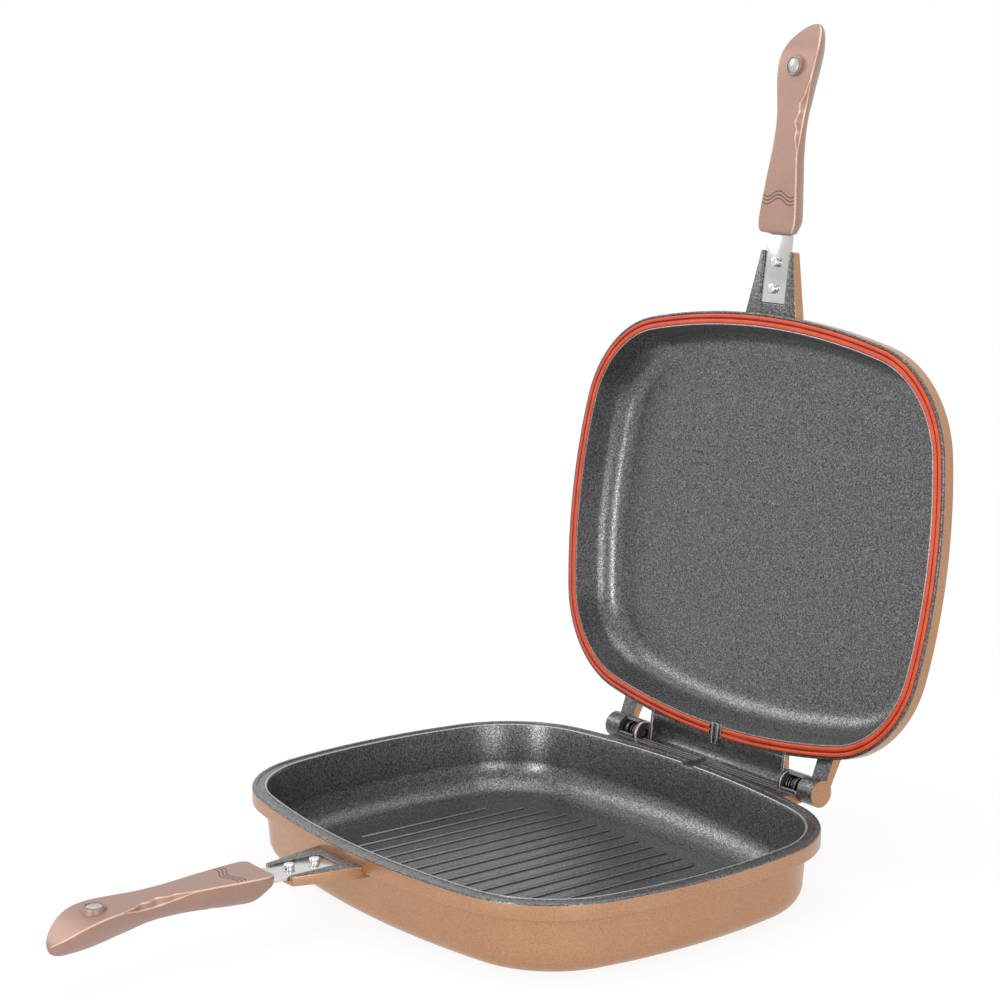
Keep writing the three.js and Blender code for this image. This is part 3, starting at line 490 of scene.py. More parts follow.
ribs = {"pitch": 13.0, "count": 17, "width": 2.8, "height": 1.0, "halfLength": 108.0, "halfDepth": 81.0,
        # how square the ribbed field is, the rounding of the crowns and of the ends
        "power": 3.6, "crown": 0.6, "endRound": 1.372}
floorZ = lowerShell["floor"] - lowerShell["height"]
bm = bmesh.new()
for index in range(ribs["count"]):
    x = (index - (ribs["count"] - 1) / 2) * ribs["pitch"]
    reach = ribs["halfDepth"] * (1 - abs(x / ribs["halfLength"]) ** ribs["power"]) ** (1 / ribs["power"])
    cube = bmesh.ops.create_cube(bm, size=1.0)["verts"]
    bmesh.ops.scale(bm, vec=(ribs["width"], 2 * reach, 2 * ribs["height"]), verts=cube)
    bmesh.ops.translate(bm, vec=(x, 0, floorZ), verts=cube)
upright = [e for e in bm.edges if abs(e.verts[0].co.z - e.verts[1].co.z) > ribs["height"]]
bmesh.ops.bevel(bm, geom=upright, offset=ribs["endRound"], segments=5, affect="EDGES", profile=0.5,
                material=-1)
# the crowns are drawn lighter: a painted highlight
crown = [e for e in bm.edges if all(v.co.z > floorZ + ribs["height"] / 2 for v in e.verts)]
bmesh.ops.bevel(bm, geom=crown, offset=ribs["crown"], segments=2, affect="EDGES", profile=0.5, material=2)
# the upright sides are drawn darker: painted shade
for direction in ((1, 0, 0), (-1, 0, 0)):
    coatFacing(bm, direction, 1, 0.95, only=(0,))
keepPiece(bm, "floorRibs", "lower", [coating, ribSideShade, ribCrownHighlight], smoothTo=50)

ledge = {"rootY": 120.4, "shelfY": 133.0, "stopY": 138.65, "shelfHalf": 80.0, "stopHalf": 61.2,
         "top": -0.8, "bottom": -6.5, "round": 0.45, "notchDepth": 1.75,
         # fine cast lines along its top, drawn pale as a painted highlight: place and reach to each side
         "lines": [(129.6, 79.5), (132.2, 79.5), (135.4, 60.5)], "lineFrom": 6.4, "lineWidth": 0.45,
         "lineTop": -0.68, "lineFoot": -1.1,
         # the edge round the notch, where the lid's spout lies when shut, drawn pale as a painted highlight
         "edgeY": 119.0, "edgeWidth": 0.8, "edgeHalf": 0.35, "edgeFoot": -2.1, "edgeLow": -1.5,
         "edgeHigh": -0.05}
rightEdge = [(ledge["stopHalf"], ledge["stopY"]), (ledge["stopHalf"], ledge["shelfY"]),
             (ledge["shelfHalf"], ledge["shelfY"]), (ledge["shelfHalf"], ledge["rootY"])]
bm = bmesh.new()
plateFrom(bm, mirrored(rightEdge), "xy", ledge["bottom"], ledge["top"])
# the rounded edges get material 2, a painted highlight
softenEdges(bm, ledge["round"], 2, edgeMaterial=2)
cutNotch(bm, lowerShell["notchHalf"], lowerShell["notchSlope"], ledge["notchDepth"],
         lowerShell["notchBehind"])
reach = lowerShell["notchHalf"]
beads = [(-reach, reach, ledge["edgeY"], ledge["edgeWidth"], ledge["edgeFoot"], ledge["edgeLow"])]
for side in (-1, 1):
    beads += [(side * ledge["lineFrom"], side * far, y, ledge["lineWidth"], ledge["lineFoot"],
               ledge["lineTop"]) for y, far in ledge["lines"]]
    beads.append((side * reach - ledge["edgeHalf"], side * reach + ledge["edgeHalf"], ledge["edgeY"],
                  ledge["edgeWidth"], ledge["edgeFoot"], ledge["edgeHigh"]))
# the beads are drawn pale: a painted highlight
for left, right, y, wide, foot, top in beads:
    before = set(bm.faces)
    near, far = y - wide / 2, y + wide / 2
    plateFrom(bm, [(left, near), (right, near), (right, far), (left, far)], "xy", foot, top)
    coatNew(bm, before, 2)
coatFacing(bm, (0, 0, 1), 1, 0.3, only=(0,))
coatFacing(bm, (0, 1, 0), 1, 0.6, only=(0,))
keepPiece(bm, "rearLedge", "lower", casting)

barrel = {"start": 63.5, "end": 80.2, "wall": 3.2, "bore": 6.0, "guide": 2.9,
          "windowFrom": 185.0, "windowTo": 95.0, "noseRound": 0.9, "noseStep": 0.3, "edge": 0.4,
          # the pale painted highlight lies between these depths in the wall, and the painted shade of the
          # inner end stops short of the window
          "paleFrom": 0.3, "paleTo": 0.05, "shadeShort": 0.5,
          # the cast web that carries it from the rim, seen from its end
          "web": [(120.5, -0.9), (132.4, -0.9), (133.2, -3.5), (136.0, -6.0), (138.3, -6.6), (131.5, -7.0),
                  (120.5, -6.4)]}
radius = hinge["barrelRadius"]
centre = (0, hinge["y"], hinge["aboveRim"])
nose, inner, end, edge = barrel["start"], barrel["start"] + barrel["wall"], barrel["end"], barrel["edge"]
endWall = [(barrel["guide"], nose), (radius - barrel["noseRound"], nose),
           (radius - barrel["noseStep"], nose + barrel["noseStep"]), (radius, nose + barrel["noseRound"]),
           (radius, inner - edge), (radius - edge, inner), (barrel["guide"], inner)]
tube = [(barrel["bore"], inner), (radius, inner), (radius, end - edge), (radius - edge, end),
        (barrel["bore"], end)]
for side, name in bothSides:
    bm = bmesh.new()
    turnedPiece(bm, onSide(endWall, side), centre, looped=True, steps=64)
    turnedPiece(bm, onSide(tube, side), centre, start=barrel["windowFrom"],
                sweep=360 - barrel["windowFrom"] + barrel["windowTo"], looped=True, steps=52)
    for face in bm.faces:
        # the inner end in painted shade, then the cut edges of the window and the small roundings of both
        # ends in pale painted highlight
        middle = middleOf(face)
        away = (middle - Vector((middle.x, *centre[1:]))).length
        face.material_index = 3 if abs(middle.x) < inner - barrel["shadeShort"] else 1
        inWall = barrel["bore"] + barrel["paleFrom"] < away < radius - barrel["paleTo"]
        if inWall and abs(face.normal.x) < 0.9:
            face.material_index = 2
    # the copper spray reaches them from behind and below
    coatFacing(bm, (0, 0.8, -0.6), 0, 0.5, only=(1, 2))
    plateFrom(bm, barrel["web"], "yz", side * nose, side * end)
    faceOut(bm)
    coatFacing(bm, (0, 0, 1), 1, 0.2, only=(0,))
    keepPiece(bm, name + "HingeBarrel", "lower", casting + [barrelEndShade], smoothTo=40)
print("lower pan modelled")

# lid
lidShell = {
    "height": 27.5, "skirt": 8.5, "skirtRound": 1.0, "rimRound": 0.4, "inset": 8.0, "draft": 1.5,
    "outerFillet": 16.0, "rootRound": 1.5, "floor": 3.0, "innerFillet": 17.0, "innerWall": 11.2,
    "filletFrom": 195, "coatReach": 1.4,
    # inset, height and material over the thin edge, the seal's groove and the inner lip; material 2 on the
    # lip is a painted highlight
    "top": [(1.2, 0, 1), (1.22, -3.5, 1), (7.55, -3.5, 1), (7.6, -0.1, 2), (7.8, 0, 2), (8.1, 0, 2),
            (8.35, -0.1, 1), (8.5, -0.4, 1), (8.62, -1.2, 1)],
}
edge = [(0.01, -lidShell["rimRound"])]
edge += roundStep(lidShell["rimRound"], -lidShell["rimRound"], lidShell["rimRound"], 180, 90, 3)[1:]
bm = panShell(lidShell, [(i, z, 1) for i, z in edge] + lidShell["top"] + cavitySteps(lidShell))
keepPiece(bm, "lidShell", "upper", casting, replaces=("upper_pan",))

seal = {
    "outer": 1.6, "width": 5.7, "back": -3.2, "gap": 5.5,
    # place across the seal, height and material: two ridges with a deep groove between them
    "ridge": [(0.0, 0.0, 0), (0.35, 0.55, 0), (0.7, 0.7, 0), (1.6, 0.7, 0), (2.05, 0.5, 0),
              (2.35, -0.1, 1), (2.6, -0.5, 1), (2.85, -0.5, 1), (3.1, -0.1, 1), (3.4, 0.5, 0),
              (3.85, 0.7, 0), (4.85, 0.7, 0), (5.3, 0.55, 0), (5.7, 0.0, 0)],
}
bm = bmesh.new()
outerFace = outlineFace(bm, seal["back"])
steps = [(seal["outer"], seal["back"], 0)]
steps += [(seal["outer"] + i, z, m) for i, z, m in seal["ridge"]]
steps += [(seal["outer"] + seal["width"] + 0.01, seal["back"], 0)]
lastFace = walkProfile(bm, outerFace, (0, seal["back"]), steps)
bmesh.ops.delete(bm, geom=[lastFace], context="FACES")
stray = [f for f in bm.faces if all(abs(v.co.z - seal["back"]) < 0.01 for v in f.verts)]
bmesh.ops.delete(bm, geom=stray, context="FACES")
for cut in (-seal["gap"], seal["gap"]):
    cutAcross(bm, cut, [f for f in bm.faces if middleOf(f).y > 0])
opening = [f for f in bm.faces if middleOf(f).y > 0 and abs(middleOf(f).x) < seal["gap"]]
bmesh.ops.delete(bm, geom=opening, context="FACES")
bmesh.ops.delete(bm, geom=[v for v in bm.verts if not v.link_faces], context="VERTS")
closeHoles(bm)
faceOut(bm)
keepPiece(bm, "lidSeal", "upper", [silicone, siliconeGroove], smoothTo=50, replaces=("lid_seal",))

knuckle = {"start": 80.5, "end": 93.0, "bore": 3.7, "boreDepth": 6.0, "innerEdge": 0.5, "outerEdge": 0.2,
           # faces nearer to the axis than this stay dark; the ear ends just inside the knuckle
           "darkWithin": 5.0, "earShort": 0.02, "earRound": 0.35,
           # the ear's side outline, from under the rim to the knuckle; its root follows the rim's curve
           "ear": [(111.8, -8.8), (131.3, -3.4), (136.9, -2.0), (136.9, -6.4), (108.9, -17.7)],
           "rootSlant": 2.2, "rootBefore": 115.0}
lidAxis = Vector((hinge["y"], lidHingeZ))
near, far, boreEnd = knuckle["start"], knuckle["end"], knuckle["start"] + knuckle["boreDepth"]
blindKnuckle = [(0, boreEnd), (knuckle["bore"], boreEnd), (knuckle["bore"], near),
                (radius - knuckle["innerEdge"], near), (radius, near + knuckle["innerEdge"]),
                (radius, far - knuckle["outerEdge"]), (radius - knuckle["outerEdge"], far), (0, far)]
for side, name in bothSides:
    bm = bmesh.new()
    turnedPiece(bm, onSide(blindKnuckle, side), (0, *lidAxis), steps=64)
    coatNew(bm, (), 1)
    coatFacing(bm, (side, 0, 0), 0, 0.9, lambda f: abs(middleOf(f).x) > far - 0.1)
    coatFacing(bm, (0, 0, -1), 0, 0.3,
               lambda f: (middleOf(f).yz - lidAxis).length > knuckle["darkWithin"])
    keepPiece(bm, name + "LidKnuckle", "upper", casting[:2], smoothTo=40)
    bm = bmesh.new()
    plateFrom(bm, knuckle["ear"], "yz", *sorted((side * near, side * (far - knuckle["earShort"]))))
    for vert in bm.verts:
        if vert.co.y < knuckle["rootBefore"] and abs(vert.co.x) > near + 1:
            vert.co.y -= knuckle["rootSlant"]
    softenEdges(bm, knuckle["earRound"], 2)
    coatFacing(bm, (0, 0, 1), 1, 0.5)
    keepPiece(bm, name + "LidEar", "upper", casting[:2])

gutter = {
    "half": 60.4, "endWall": 2.4, "startY": 121.0, "reach": 144.5, "lip": 5.0, "wall": 2.0, "depth": 4.3,
    "round": 0.55, "overlap": 1.0,
    # both outlines as shares of the way out and of the depth
    "outerShare": [(0, 0), (1, 0), (1, 0.4), (0.97, 0.96), (0.86, 1.2), (0.62, 1.16), (0, 0.8)],
    "innerShare": [(0, 0.02), (0.11, 0.06), (0.25, 0.4), (0.38, 0.72), (0.5, 0.92), (0.62, 1.0),
                   (0.75, 1.0), (0.86, 0.9), (0.94, 0.66), (0.985, 0.3), (1, 0)],
}
run = gutter["reach"] - gutter["startY"]
outer = [(gutter["startY"] + run * a, -gutter["depth"] * b) for a, b in gutter["outerShare"]]
hollowRun = run - gutter["wall"] - gutter["lip"]
hollowY = gutter["startY"] + gutter["lip"]
hollow = [(hollowY + hollowRun * a, -gutter["depth"] * b) for a, b in gutter["innerShare"]]
troughHalf = gutter["half"] - gutter["overlap"]
bm = bmesh.new()
plateFrom(bm, outer[1:] + hollow, "yz", -troughHalf, troughHalf)
# the rounded edges of the trough and its end walls are drawn pale: a painted highlight
softenEdges(bm, gutter["round"], 2, 60, edgeMaterial=2)
for side in (-1, 1):
    wall = bmesh.new()
    plateFrom(wall, outer, "yz", side * gutter["half"], side * (gutter["half"] - gutter["endWall"]))
    softenEdges(wall, gutter["round"], 2, 60, edgeMaterial=2)
    wallMesh = meshFrom(wall, "gutterWall")
    bm.from_mesh(wallMesh)
    bpy.data.meshes.remove(wallMesh)
coatFacing(bm, (0, 0, 1), 1, 0.1, only=(0,))
coatFacing(bm, (0, -1, 0), 1, 0.3, only=(0,))
inside = gutter["half"] - gutter["endWall"]
for side in (-1, 1):
    coatFacing(bm, (-side, 0, 0), 1, 0.9, lambda f: abs(middleOf(f).x) < inside + 0.1, only=(0,))
keepPiece(bm, "dripGutter", "upper", casting)

spout = {"ribIn": 1.5, "ribOut": 3.1, "half": 4.4, "startY": 118.6, "lipY": 127.6, "endY": 131.4,
         "top": 1.7, "tongueTop": 0.0, "shoulder": 0.2, "foot": -3.0, "round": 0.35,
         # the rounded tongue and its hidden root, and how the ribs lean in to its tip
         "tongueHalf": 2.7, "rootHalf": 3.2, "rootIn": 2.0, "tipIn": 0.6, "tipWidth": 1.2, "tipShort": 0.2}
bm = bmesh.new()
body = [(-spout["half"], spout["startY"]), (spout["half"], spout["startY"]), (spout["half"], spout["lipY"]),
        (-spout["half"], spout["lipY"])]
plateFrom(bm, body, "xy", spout["foot"], spout["shoulder"])
half = spout["tongueHalf"]
tongue = [(half * cos(radians(a)), spout["endY"] - half + half * sin(radians(a))) for a in spread(0, 180, 8)]
tongue += [(x, spout["lipY"] - spout["rootIn"]) for x in (-spout["rootHalf"], spout["rootHalf"])]
plateFrom(bm, tongue, "xy", spout["foot"], spout["tongueTop"])
for side in (-1, 1):
    near, far = side * spout["ribIn"], side * spout["ribOut"]
    tip = side * (half - spout["tipIn"])
    rib = [(near, spout["startY"]), (far, spout["startY"]), (far, spout["lipY"]),
           (tip, spout["endY"] - spout["tipIn"]),
           (tip - side * spout["tipWidth"], spout["endY"] - spout["tipShort"]), (near, spout["lipY"])]
    plateFrom(bm, rib, "xy", spout["foot"], spout["top"])
# the rounded edges are drawn pale: a painted highlight
softenEdges(bm, spout["round"], 2, edgeMaterial=1)
keepPiece(bm, "pourSpout", "upper", [coating, coatEdgeHighlight])
print("lid modelled")

# handles
bracket = {"rootHalf": 21.6, "tipHalf": 13.7, "rootY": -119.0, "rimY": -127.8, "tipY": -165.2,
           "top": -5.7, "rootBottom": -12.9, "tipBottom": -11.3,
           "recessHalf": 10.3, "recessEnd": -134.3, "recessFloor": -8.8, "round": 0.7,
           # the dark film on the recess's walls reaches this far past them and below the floor
           "filmPast": 0.5, "filmBelow": 0.3}
tang = {"half": 10.0, "top": -6.5, "bottom": -8.5, "startY": -134.6, "endY": -178.0, "round": 0.25}
rivet = {"places": (("inner", -142.9), ("outer", -158.7)), "shank": 2.2,
         # radius and height above the tang: a waisted neck under a tall round head
         "head": [(2.9, 0), (3.0, 0.3), (2.7, 0.8), (2.65, 1.3), (3.0, 1.6), (3.05, 2.4), (2.8, 2.9),
                  (2.0, 3.15), (0, 3.25)],
         # radius and height of the upset foot
         "foot": [(0, -14.2), (3.0, -14.2), (3.5, -13.6), (3.5, -12.0), (2.2, -12.0)]}
grip = {
    "nearY": -175.2, "length": 124.0, "halfWidth": 15.6, "thickness": 17.2, "drop": 2.1, "edge": 0.6,
    # shares along the grip, then half width, top and bottom as shares of the sizes above, and how
    # full the rounded underside is: 2 is an ellipse, and less comes nearer to a keel
    "places": [0, 0.01, 0.03, 0.065, 0.13, 0.21, 0.29, 0.37, 0.44, 0.51, 0.57, 0.63, 0.7, 0.76, 0.82, 0.87,
               0.915, 0.95, 0.975, 0.992, 1],
    "width": [0.82, 0.91, 0.98, 1, 0.96, 0.88, 0.8, 0.71, 0.66, 0.65, 0.69, 0.79, 0.9, 0.97, 1, 0.95, 0.82,
              0.65, 0.47, 0.29, 0.13],
    "top": [0.038, 0.011, 0, 0, 0, 0, 0, 0.008, 0.019, 0.03, 0.045, 0.056, 0.067, 0.083, 0.142, 0.244,
            0.394, 0.551, 0.69, 0.795, 0.877],
    "bottom": [0.596, 0.628, 0.767, 0.983, 0.994, 0.948, 0.89, 0.843, 0.826, 0.831, 0.872, 0.965, 1.064,
               1.151, 1.218, 1.25, 1.262, 1.267, 1.215, 1.134, 1.041],
    "fullness": [2.6, 2.3, 2, 1.75, 1.68, 1.68, 1.72, 1.74, 1.76, 1.74, 1.64, 1.5, 1.4, 1.38, 1.38, 1.4, 1.4,
                 1.37, 1.35, 1.35, 1.35],
    # the thumb facet's depth across and fall down the side, and the scallops of its inner edge
    "cut": [0, 0, 0, 0, 0, 0, 0, 0, 0.55, 0.95, 1, 0.75, 0.15, 0, 0, 0, 0, 0, 0, 0, 0],
    "facetDepth": 2.6, "facetFall": 2.9, "scallop": 0.4, "scallopLength": 10.5, "line": 0.4,
    "turns": [0, 0.14, 0.29, 0.44, 0.59, 0.74, 0.88], "flatLine": 0.55,
    # even rings between two shares of the length, and closer ones at both ends
    "spacing": 1.6, "evenFrom": 0.05, "evenTo": 0.92, "crease": 0.75, "facetLeast": 0.1,
}


def gripShape(share, key):
    # a smooth curve through the stations of one row, read at one share of the length
    places, row = grip["places"], grip[key]
    index = max(i for i in range(len(places) - 1) if places[i] <= share or i == 0)
    first, last = max(index - 1, 0), min(index + 2, len(places) - 1)
    span = places[index + 1] - places[index]
    t = (share - places[index]) / span
    leave = (row[index + 1] - row[first]) / (places[index + 1] - places[first]) * span
    arrive = (row[last] - row[index]) / (places[last] - places[index]) * span
    return ((2 * t ** 3 - 3 * t ** 2 + 1) * row[index] + (t ** 3 - 2 * t ** 2 + t) * leave
            + (3 * t ** 2 - 2 * t ** 3) * row[index + 1] + (t ** 3 - t ** 2) * arrive)


def gripHalfSection(share, cut):
    # from the middle of the top, over the edge or the facet, down the side to the keel
    width = grip["halfWidth"] * gripShape(share, "width")
    top = -grip["drop"] - grip["thickness"] * gripShape(share, "top")
    bottom = -grip["drop"] - grip["thickness"] * gripShape(share, "bottom")
    power = 2 / gripShape(share, "fullness")
    small = min(grip["edge"], width / 4, (top - bottom) / 4)
    start = asin(((small + grip["facetFall"] * cut) / (top - bottom)) ** (1 / power))
    angles = [start + (pi / 2 - start) * turn for turn in grip["turns"]]
    side = [Vector((width * cos(a) ** power, top + (bottom - top) * sin(a) ** power)) for a in angles]
    wave = 1 + grip["scallop"] * sin(2 * pi * share * grip["length"] / grip["scallopLength"])
    inner = Vector((side[0].x - small - grip["facetDepth"] * cut * wave, top))
    step = (side[0] - inner) * min(1 / 3, grip["line"] / (side[0] - inner).length)
    flat = [Vector((0, top)), Vector((inner.x * grip["flatLine"], top)), inner, inner + step, side[0] - step]
    return flat + side + [Vector((0, bottom))]


def gripBody(facetSide):
    # one ring of the section, drawn out along the grip; its edge lines have the second material, a painted
    # highlight
    bm = bmesh.new()
    crease = bm.edges.layers.float.new("crease_edge")
    evenFrom, evenTo = grip["evenFrom"], grip["evenTo"]
    even = spread(evenFrom, evenTo, round((evenTo - evenFrom) * grip["length"] / grip["spacing"]))
    shares = [s for s in grip["places"] if s < evenFrom] + even + [s for s in grip["places"] if s > evenTo]
    cuts = [max(gripShape(share, "cut"), 0) for share in shares]

    def ringPlaces(share, cut):
        plain, faceted = gripHalfSection(share, 0), gripHalfSection(share, cut)
        right, left = (faceted, plain) if facetSide > 0 else (plain, faceted)
        return [tuple(v) for v in right] + [(-v.x, v.y) for v in reversed(left[1:-1])]

    sides = len(ringPlaces(0, 0))
    ring = bmesh.ops.create_circle(bm, segments=sides, radius=1.0)["verts"]
    lines = [[v] for v in ring]
    edges = list(bm.edges)
    bmesh.ops.contextual_create(bm, geom=edges)
    for index, share in enumerate(shares):
        if index:
            grown = bmesh.ops.extrude_edge_only(bm, edges=edges)["geom"]
            fresh = {g for g in grown if isinstance(g, bmesh.types.BMVert)}
            edges = [g for g in grown if isinstance(g, bmesh.types.BMEdge) and set(g.verts) <= fresh]
            ring = [next(e.other_vert(v) for e in v.link_edges if e.other_vert(v) in fresh) for v in ring]
            for line, vert in zip(lines, ring):
                line.append(vert)
        y = grip["nearY"] - grip["length"] * share
        for vert, (x, z) in zip(ring, ringPlaces(share, cuts[index])):
            vert.co = (x, y, z)
    bmesh.ops.contextual_create(bm, geom=edges)
    # the section's places 2 to 5 are the top's edge, its line's two sides and the side's start
    for corner in (2, 5, sides - 5, sides - 2):
        for near, far in zip(lines[corner], lines[corner][1:]):
            bm.edges.get((near, far))[crease] = grip["crease"]
    rowOf = {v: i for line in lines for i, v in enumerate(line)}
    for one in (2, 3, 4, sides - 5, sides - 4, sides - 3):
        strip = set(lines[one]) | set(lines[one + 1])
        wide = one in (3, sides - 4)
        for face in bm.faces:
            if len(face.verts) == 4 and set(face.verts) <= strip:
                onFacet = (middleOf(face).x > 0) == (facetSide > 0)
                if not (wide and onFacet and cuts[rowOf[face.verts[0]]] > grip["facetLeast"]):
                    face.material_index = 1
    faceOut(bm)
    return bm


magnetSpot = {
    # profiles of radius and height: the moulded boss from its foot to its lip, the cup and the magnet
    "y": -273.1,
    "boss": [(0, -6.8), (6.8, -6.8), (6.6, -4.6), (6.35, -3.6), (6.2, -2.7), (6.1, -2.2), (5.95, -1.9),
             (5.75, -1.75), (5.45, -1.75), (5.42, -2.4), (0, -2.4)],
    "cup": [(0, -4.8), (5.3, -4.8), (5.3, -1.55), (5.15, -1.4), (4.7, -1.4), (4.6, -1.5), (4.6, -4.1),
            (0, -4.1)],
    "magnet": [(0, -3.8), (4.3, -3.8), (4.3, -1.8), (4.1, -1.65), (0, -1.62)],
}
waves = {"firstY": -193.9, "pitch": 2.2, "count": 3, "half": 13.6, "height": 1.8, "length": 20.0,
         # each line thins out to a share of its width over the last stretch
         "width": 0.3, "endShare": 0.3, "endRun": 2.0, "steps": 60,
         "lift": 0.07, "camber": 0.04, "deep": 0.15}
screw = {"y": -207.2, "recess": [(0, -13.1), (4.0, -13.1), (4.0, -24.0), (0, -24.0)],
         "head": [(0, -13.4), (3.6, -13.4), (3.6, -15.1), (3.1, -15.6), (1.0, -15.6), (0.9, -15.0),
                  (0, -15.0)]}


def cutRecess(piece, half):
    # the rounded grip is cut for its screw head, and keeps the finished mesh
    bm = bmesh.new()
    turnedPiece(bm, screw["recess"], (0, screw["y"], 0), "Z", steps=40)
    bmesh.ops.transform(bm, matrix=Matrix.Scale(mm, 4) @ halves[half]["place"], verts=bm.verts)
    cutterMesh = meshFrom(bm, "screwRecess")
    cutter = placed("screwRecess", cutterMesh)
    cut = piece.modifiers.new("screwRecess", "BOOLEAN")
    cut.operation = "DIFFERENCE"
    cut.solver = "EXACT"
    cut.object = cutter
    finished = bpy.data.meshes.new_from_object(piece.evaluated_get(bpy.context.evaluated_depsgraph_get()))
    piece.modifiers.clear()
    piece.data = finished
    finished.shade_smooth()
    finished.set_sharp_from_angle(angle=radians(50))
    bpy.data.objects.remove(cutter)
    bpy.data.meshes.remove(cutterMesh)


def bracketBody():
    # floor plate and recess walls grow from one drawing
    bm = bmesh.new()
    rightPlan = [(bracket["rootHalf"], bracket["rootY"]), (bracket["rootHalf"], bracket["rimY"]),
                 (bracket["tipHalf"], bracket["tipY"]), (bracket["recessHalf"], bracket["tipY"]),
                 (bracket["recessHalf"], bracket["recessEnd"])]
    verts = [bm.verts.new((x, y, bracket["recessFloor"])) for x, y in mirrored(rightPlan)]
    wallFace = bm.faces.new(verts)
    floorFace = bm.faces.new([verts[6], verts[5], verts[4], verts[3]])
    pushFaces(bm, [wallFace, floorFace], (0, 0, bracket["rootBottom"] - bracket["recessFloor"]))
    pushFaces(bm, [wallFace], (0, 0, bracket["top"] - bracket["recessFloor"]), False)
    bmesh.ops.delete(bm, geom=[wallFace], context="FACES_ONLY")
    for vert in bm.verts:
        if vert.co.z < bracket["recessFloor"] - 1:
            share = (vert.co.y - bracket["rimY"]) / (bracket["tipY"] - bracket["rimY"])
            vert.co.z += (bracket["tipBottom"] - bracket["rootBottom"]) * max(0.0, share)
    faceOut(bm)
    softenEdges(bm, bracket["round"], 3)
    inRecess = lambda f: abs(middleOf(f).x) < bracket["recessHalf"] + bracket["filmPast"] and (
        middleOf(f).z > bracket["recessFloor"] - bracket["filmBelow"])
    for direction in ((1, 0, 0), (-1, 0, 0), (0, -1, 0)):
        coatFacing(bm, direction, 1, 0.3, inRecess)
    coatFacing(bm, (0, 0, 1), 1, 0.5)
    return bm


def waveGrooves():
    # three fine wave lines across the top of the grip, each a shaded strip let into the paint
    bm = bmesh.new()
    top = waves["lift"] - grip["drop"]
    for line in range(waves["count"]):
        y0 = waves["firstY"] - waves["pitch"] * line
        row = []
        for x in spread(-waves["half"], waves["half"], waves["steps"]):
            y = y0 - waves["height"] * cos(2 * pi * x / waves["length"])
            wide = waves["width"] * min(1.0, waves["endShare"] + (waves["half"] - abs(x)) / waves["endRun"])
            row.append([bm.verts.new((x, y + wide * k, top - waves["camber"] * abs(k))) for k in (-1, 0, 1)])
        for a, b in zip(row, row[1:]):
            bm.faces.new((a[0], b[0], b[1], a[1]))
            bm.faces.new((a[1], b[1], b[2], a[2]))
    faceOut(bm)
    bmesh.ops.solidify(bm, geom=list(bm.faces), thickness=waves["deep"])
    return bm


def keepTurned(half, name, profile, y, material, node=None, steps=48, smoothTo=40):
    # a small part turned round an upright axis on the handle's middle line
    bm = bmesh.new()
    turnedPiece(bm, profile, (0, y, 0), "Z", steps=steps)
    stoodFor = (half + node,) if node else ()
    keepPiece(bm, half + name, half, [material], smoothTo=smoothTo, replaces=stoodFor)


for half in ("lower", "upper"):
    keepPiece(bracketBody(), half + "Bracket", half, casting[:2])

    bm = bmesh.new()
    ends = [(tang["half"], tang["startY"]), (tang["half"], tang["endY"])]
    plateFrom(bm, mirrored(ends), "xy", tang["bottom"], tang["top"])
    softenEdges(bm, tang["round"], 2)
    keepPiece(bm, half + "Tang", half, [polishedSteel], replaces=(half + "_tang",))

    head = [(rivet["shank"], tang["top"])] + [(wide, tang["top"] + z) for wide, z in rivet["head"]]
    for place, y in rivet["places"]:
        keepTurned(half, "Rivet" + place.capitalize(), rivet["foot"] + head, y, rivetSteel,
                   "_rivet_" + place, steps=32, smoothTo=50)

    piece = keepPiece(gripBody(halves[half]["facetSide"]), half + "Grip", half, [gripPaint, gripEdgeHighlight],
                      smoothTo=180, replaces=(half + "_grip",))
    rounder = piece.modifiers.new("rounding", "SUBSURF")
    rounder.levels = rounder.render_levels = 2
    cutRecess(piece, half)

    spot = magnetSpot["y"]
    keepTurned(half, "MagnetBoss", magnetSpot["boss"], spot, gripPaint, steps=56)
    keepTurned(half, "MagnetCup", magnetSpot["cup"], spot, cupSteel, "_magnet_cup")
    keepTurned(half, "Magnet", magnetSpot["magnet"], spot, magnetNickel, "_magnet")

    keepPiece(waveGrooves(), half + "GripWaves", half, [grooveShade])
    keepTurned(half, "GripScrew", screw["head"], screw["y"], magnetNickel, "_grip_screw",
               steps=32)
print("handles modelled")

# hinge pins and springs
pin = {
    # radius and place along the hinge, from the tail in the barrel's end wall to the nose
    "profile": [(0, 65.1), (2.3, 65.1), (2.6, 65.4), (2.6, 74.5), (5.4, 74.5), (5.7, 74.8), (5.7, 76.2),
                (5.4, 76.5), (3.4, 76.5), (3.4, 83.3), (2.9, 83.8), (0, 83.8)],
}
# the coil keeps a share of its length when its pin is slid in, and its seat stays where it is
spring = {"start": 67.4, "end": 73.8, "radius": 4.3, "wire": 0.4, "turns": 3, "turnSteps": 24,
          "seat": 67.0, "pressed": 0.47}
for side, name in bothSides:
    bm = bmesh.new()
    turnedPiece(bm, onSide(pin["profile"], side), centre)
    keepPiece(bm, name + "HingePin", "lower", [pinSteel], smoothTo=40, replaces=(name + "_hinge_pin",),
              body=name + "_pin")

    bm = bmesh.new()
    wire = bmesh.ops.create_circle(bm, segments=10, radius=spring["wire"])["verts"]
    wireStart = Vector(centre) + Vector((side * spring["start"], spring["radius"], 0))
    bmesh.ops.translate(bm, verts=wire, vec=wireStart)
    steps = spring["turnSteps"] * spring["turns"]
    advance = side * (spring["end"] - spring["start"]) / steps
    bmesh.ops.spin(bm, geom=wire + list(bm.edges), cent=centre, axis=(1, 0, 0), dvec=(advance, 0, 0),
                   angle=2 * pi * spring["turns"], steps=steps)
    closeHoles(bm)
    faceOut(bm)
    coil = keepPiece(bm, name + "HingeSpring", "lower", [springSteel], smoothTo=60,
                     replaces=(name + "_hinge_spring",))
    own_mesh(coil)
print("hinges modelled")

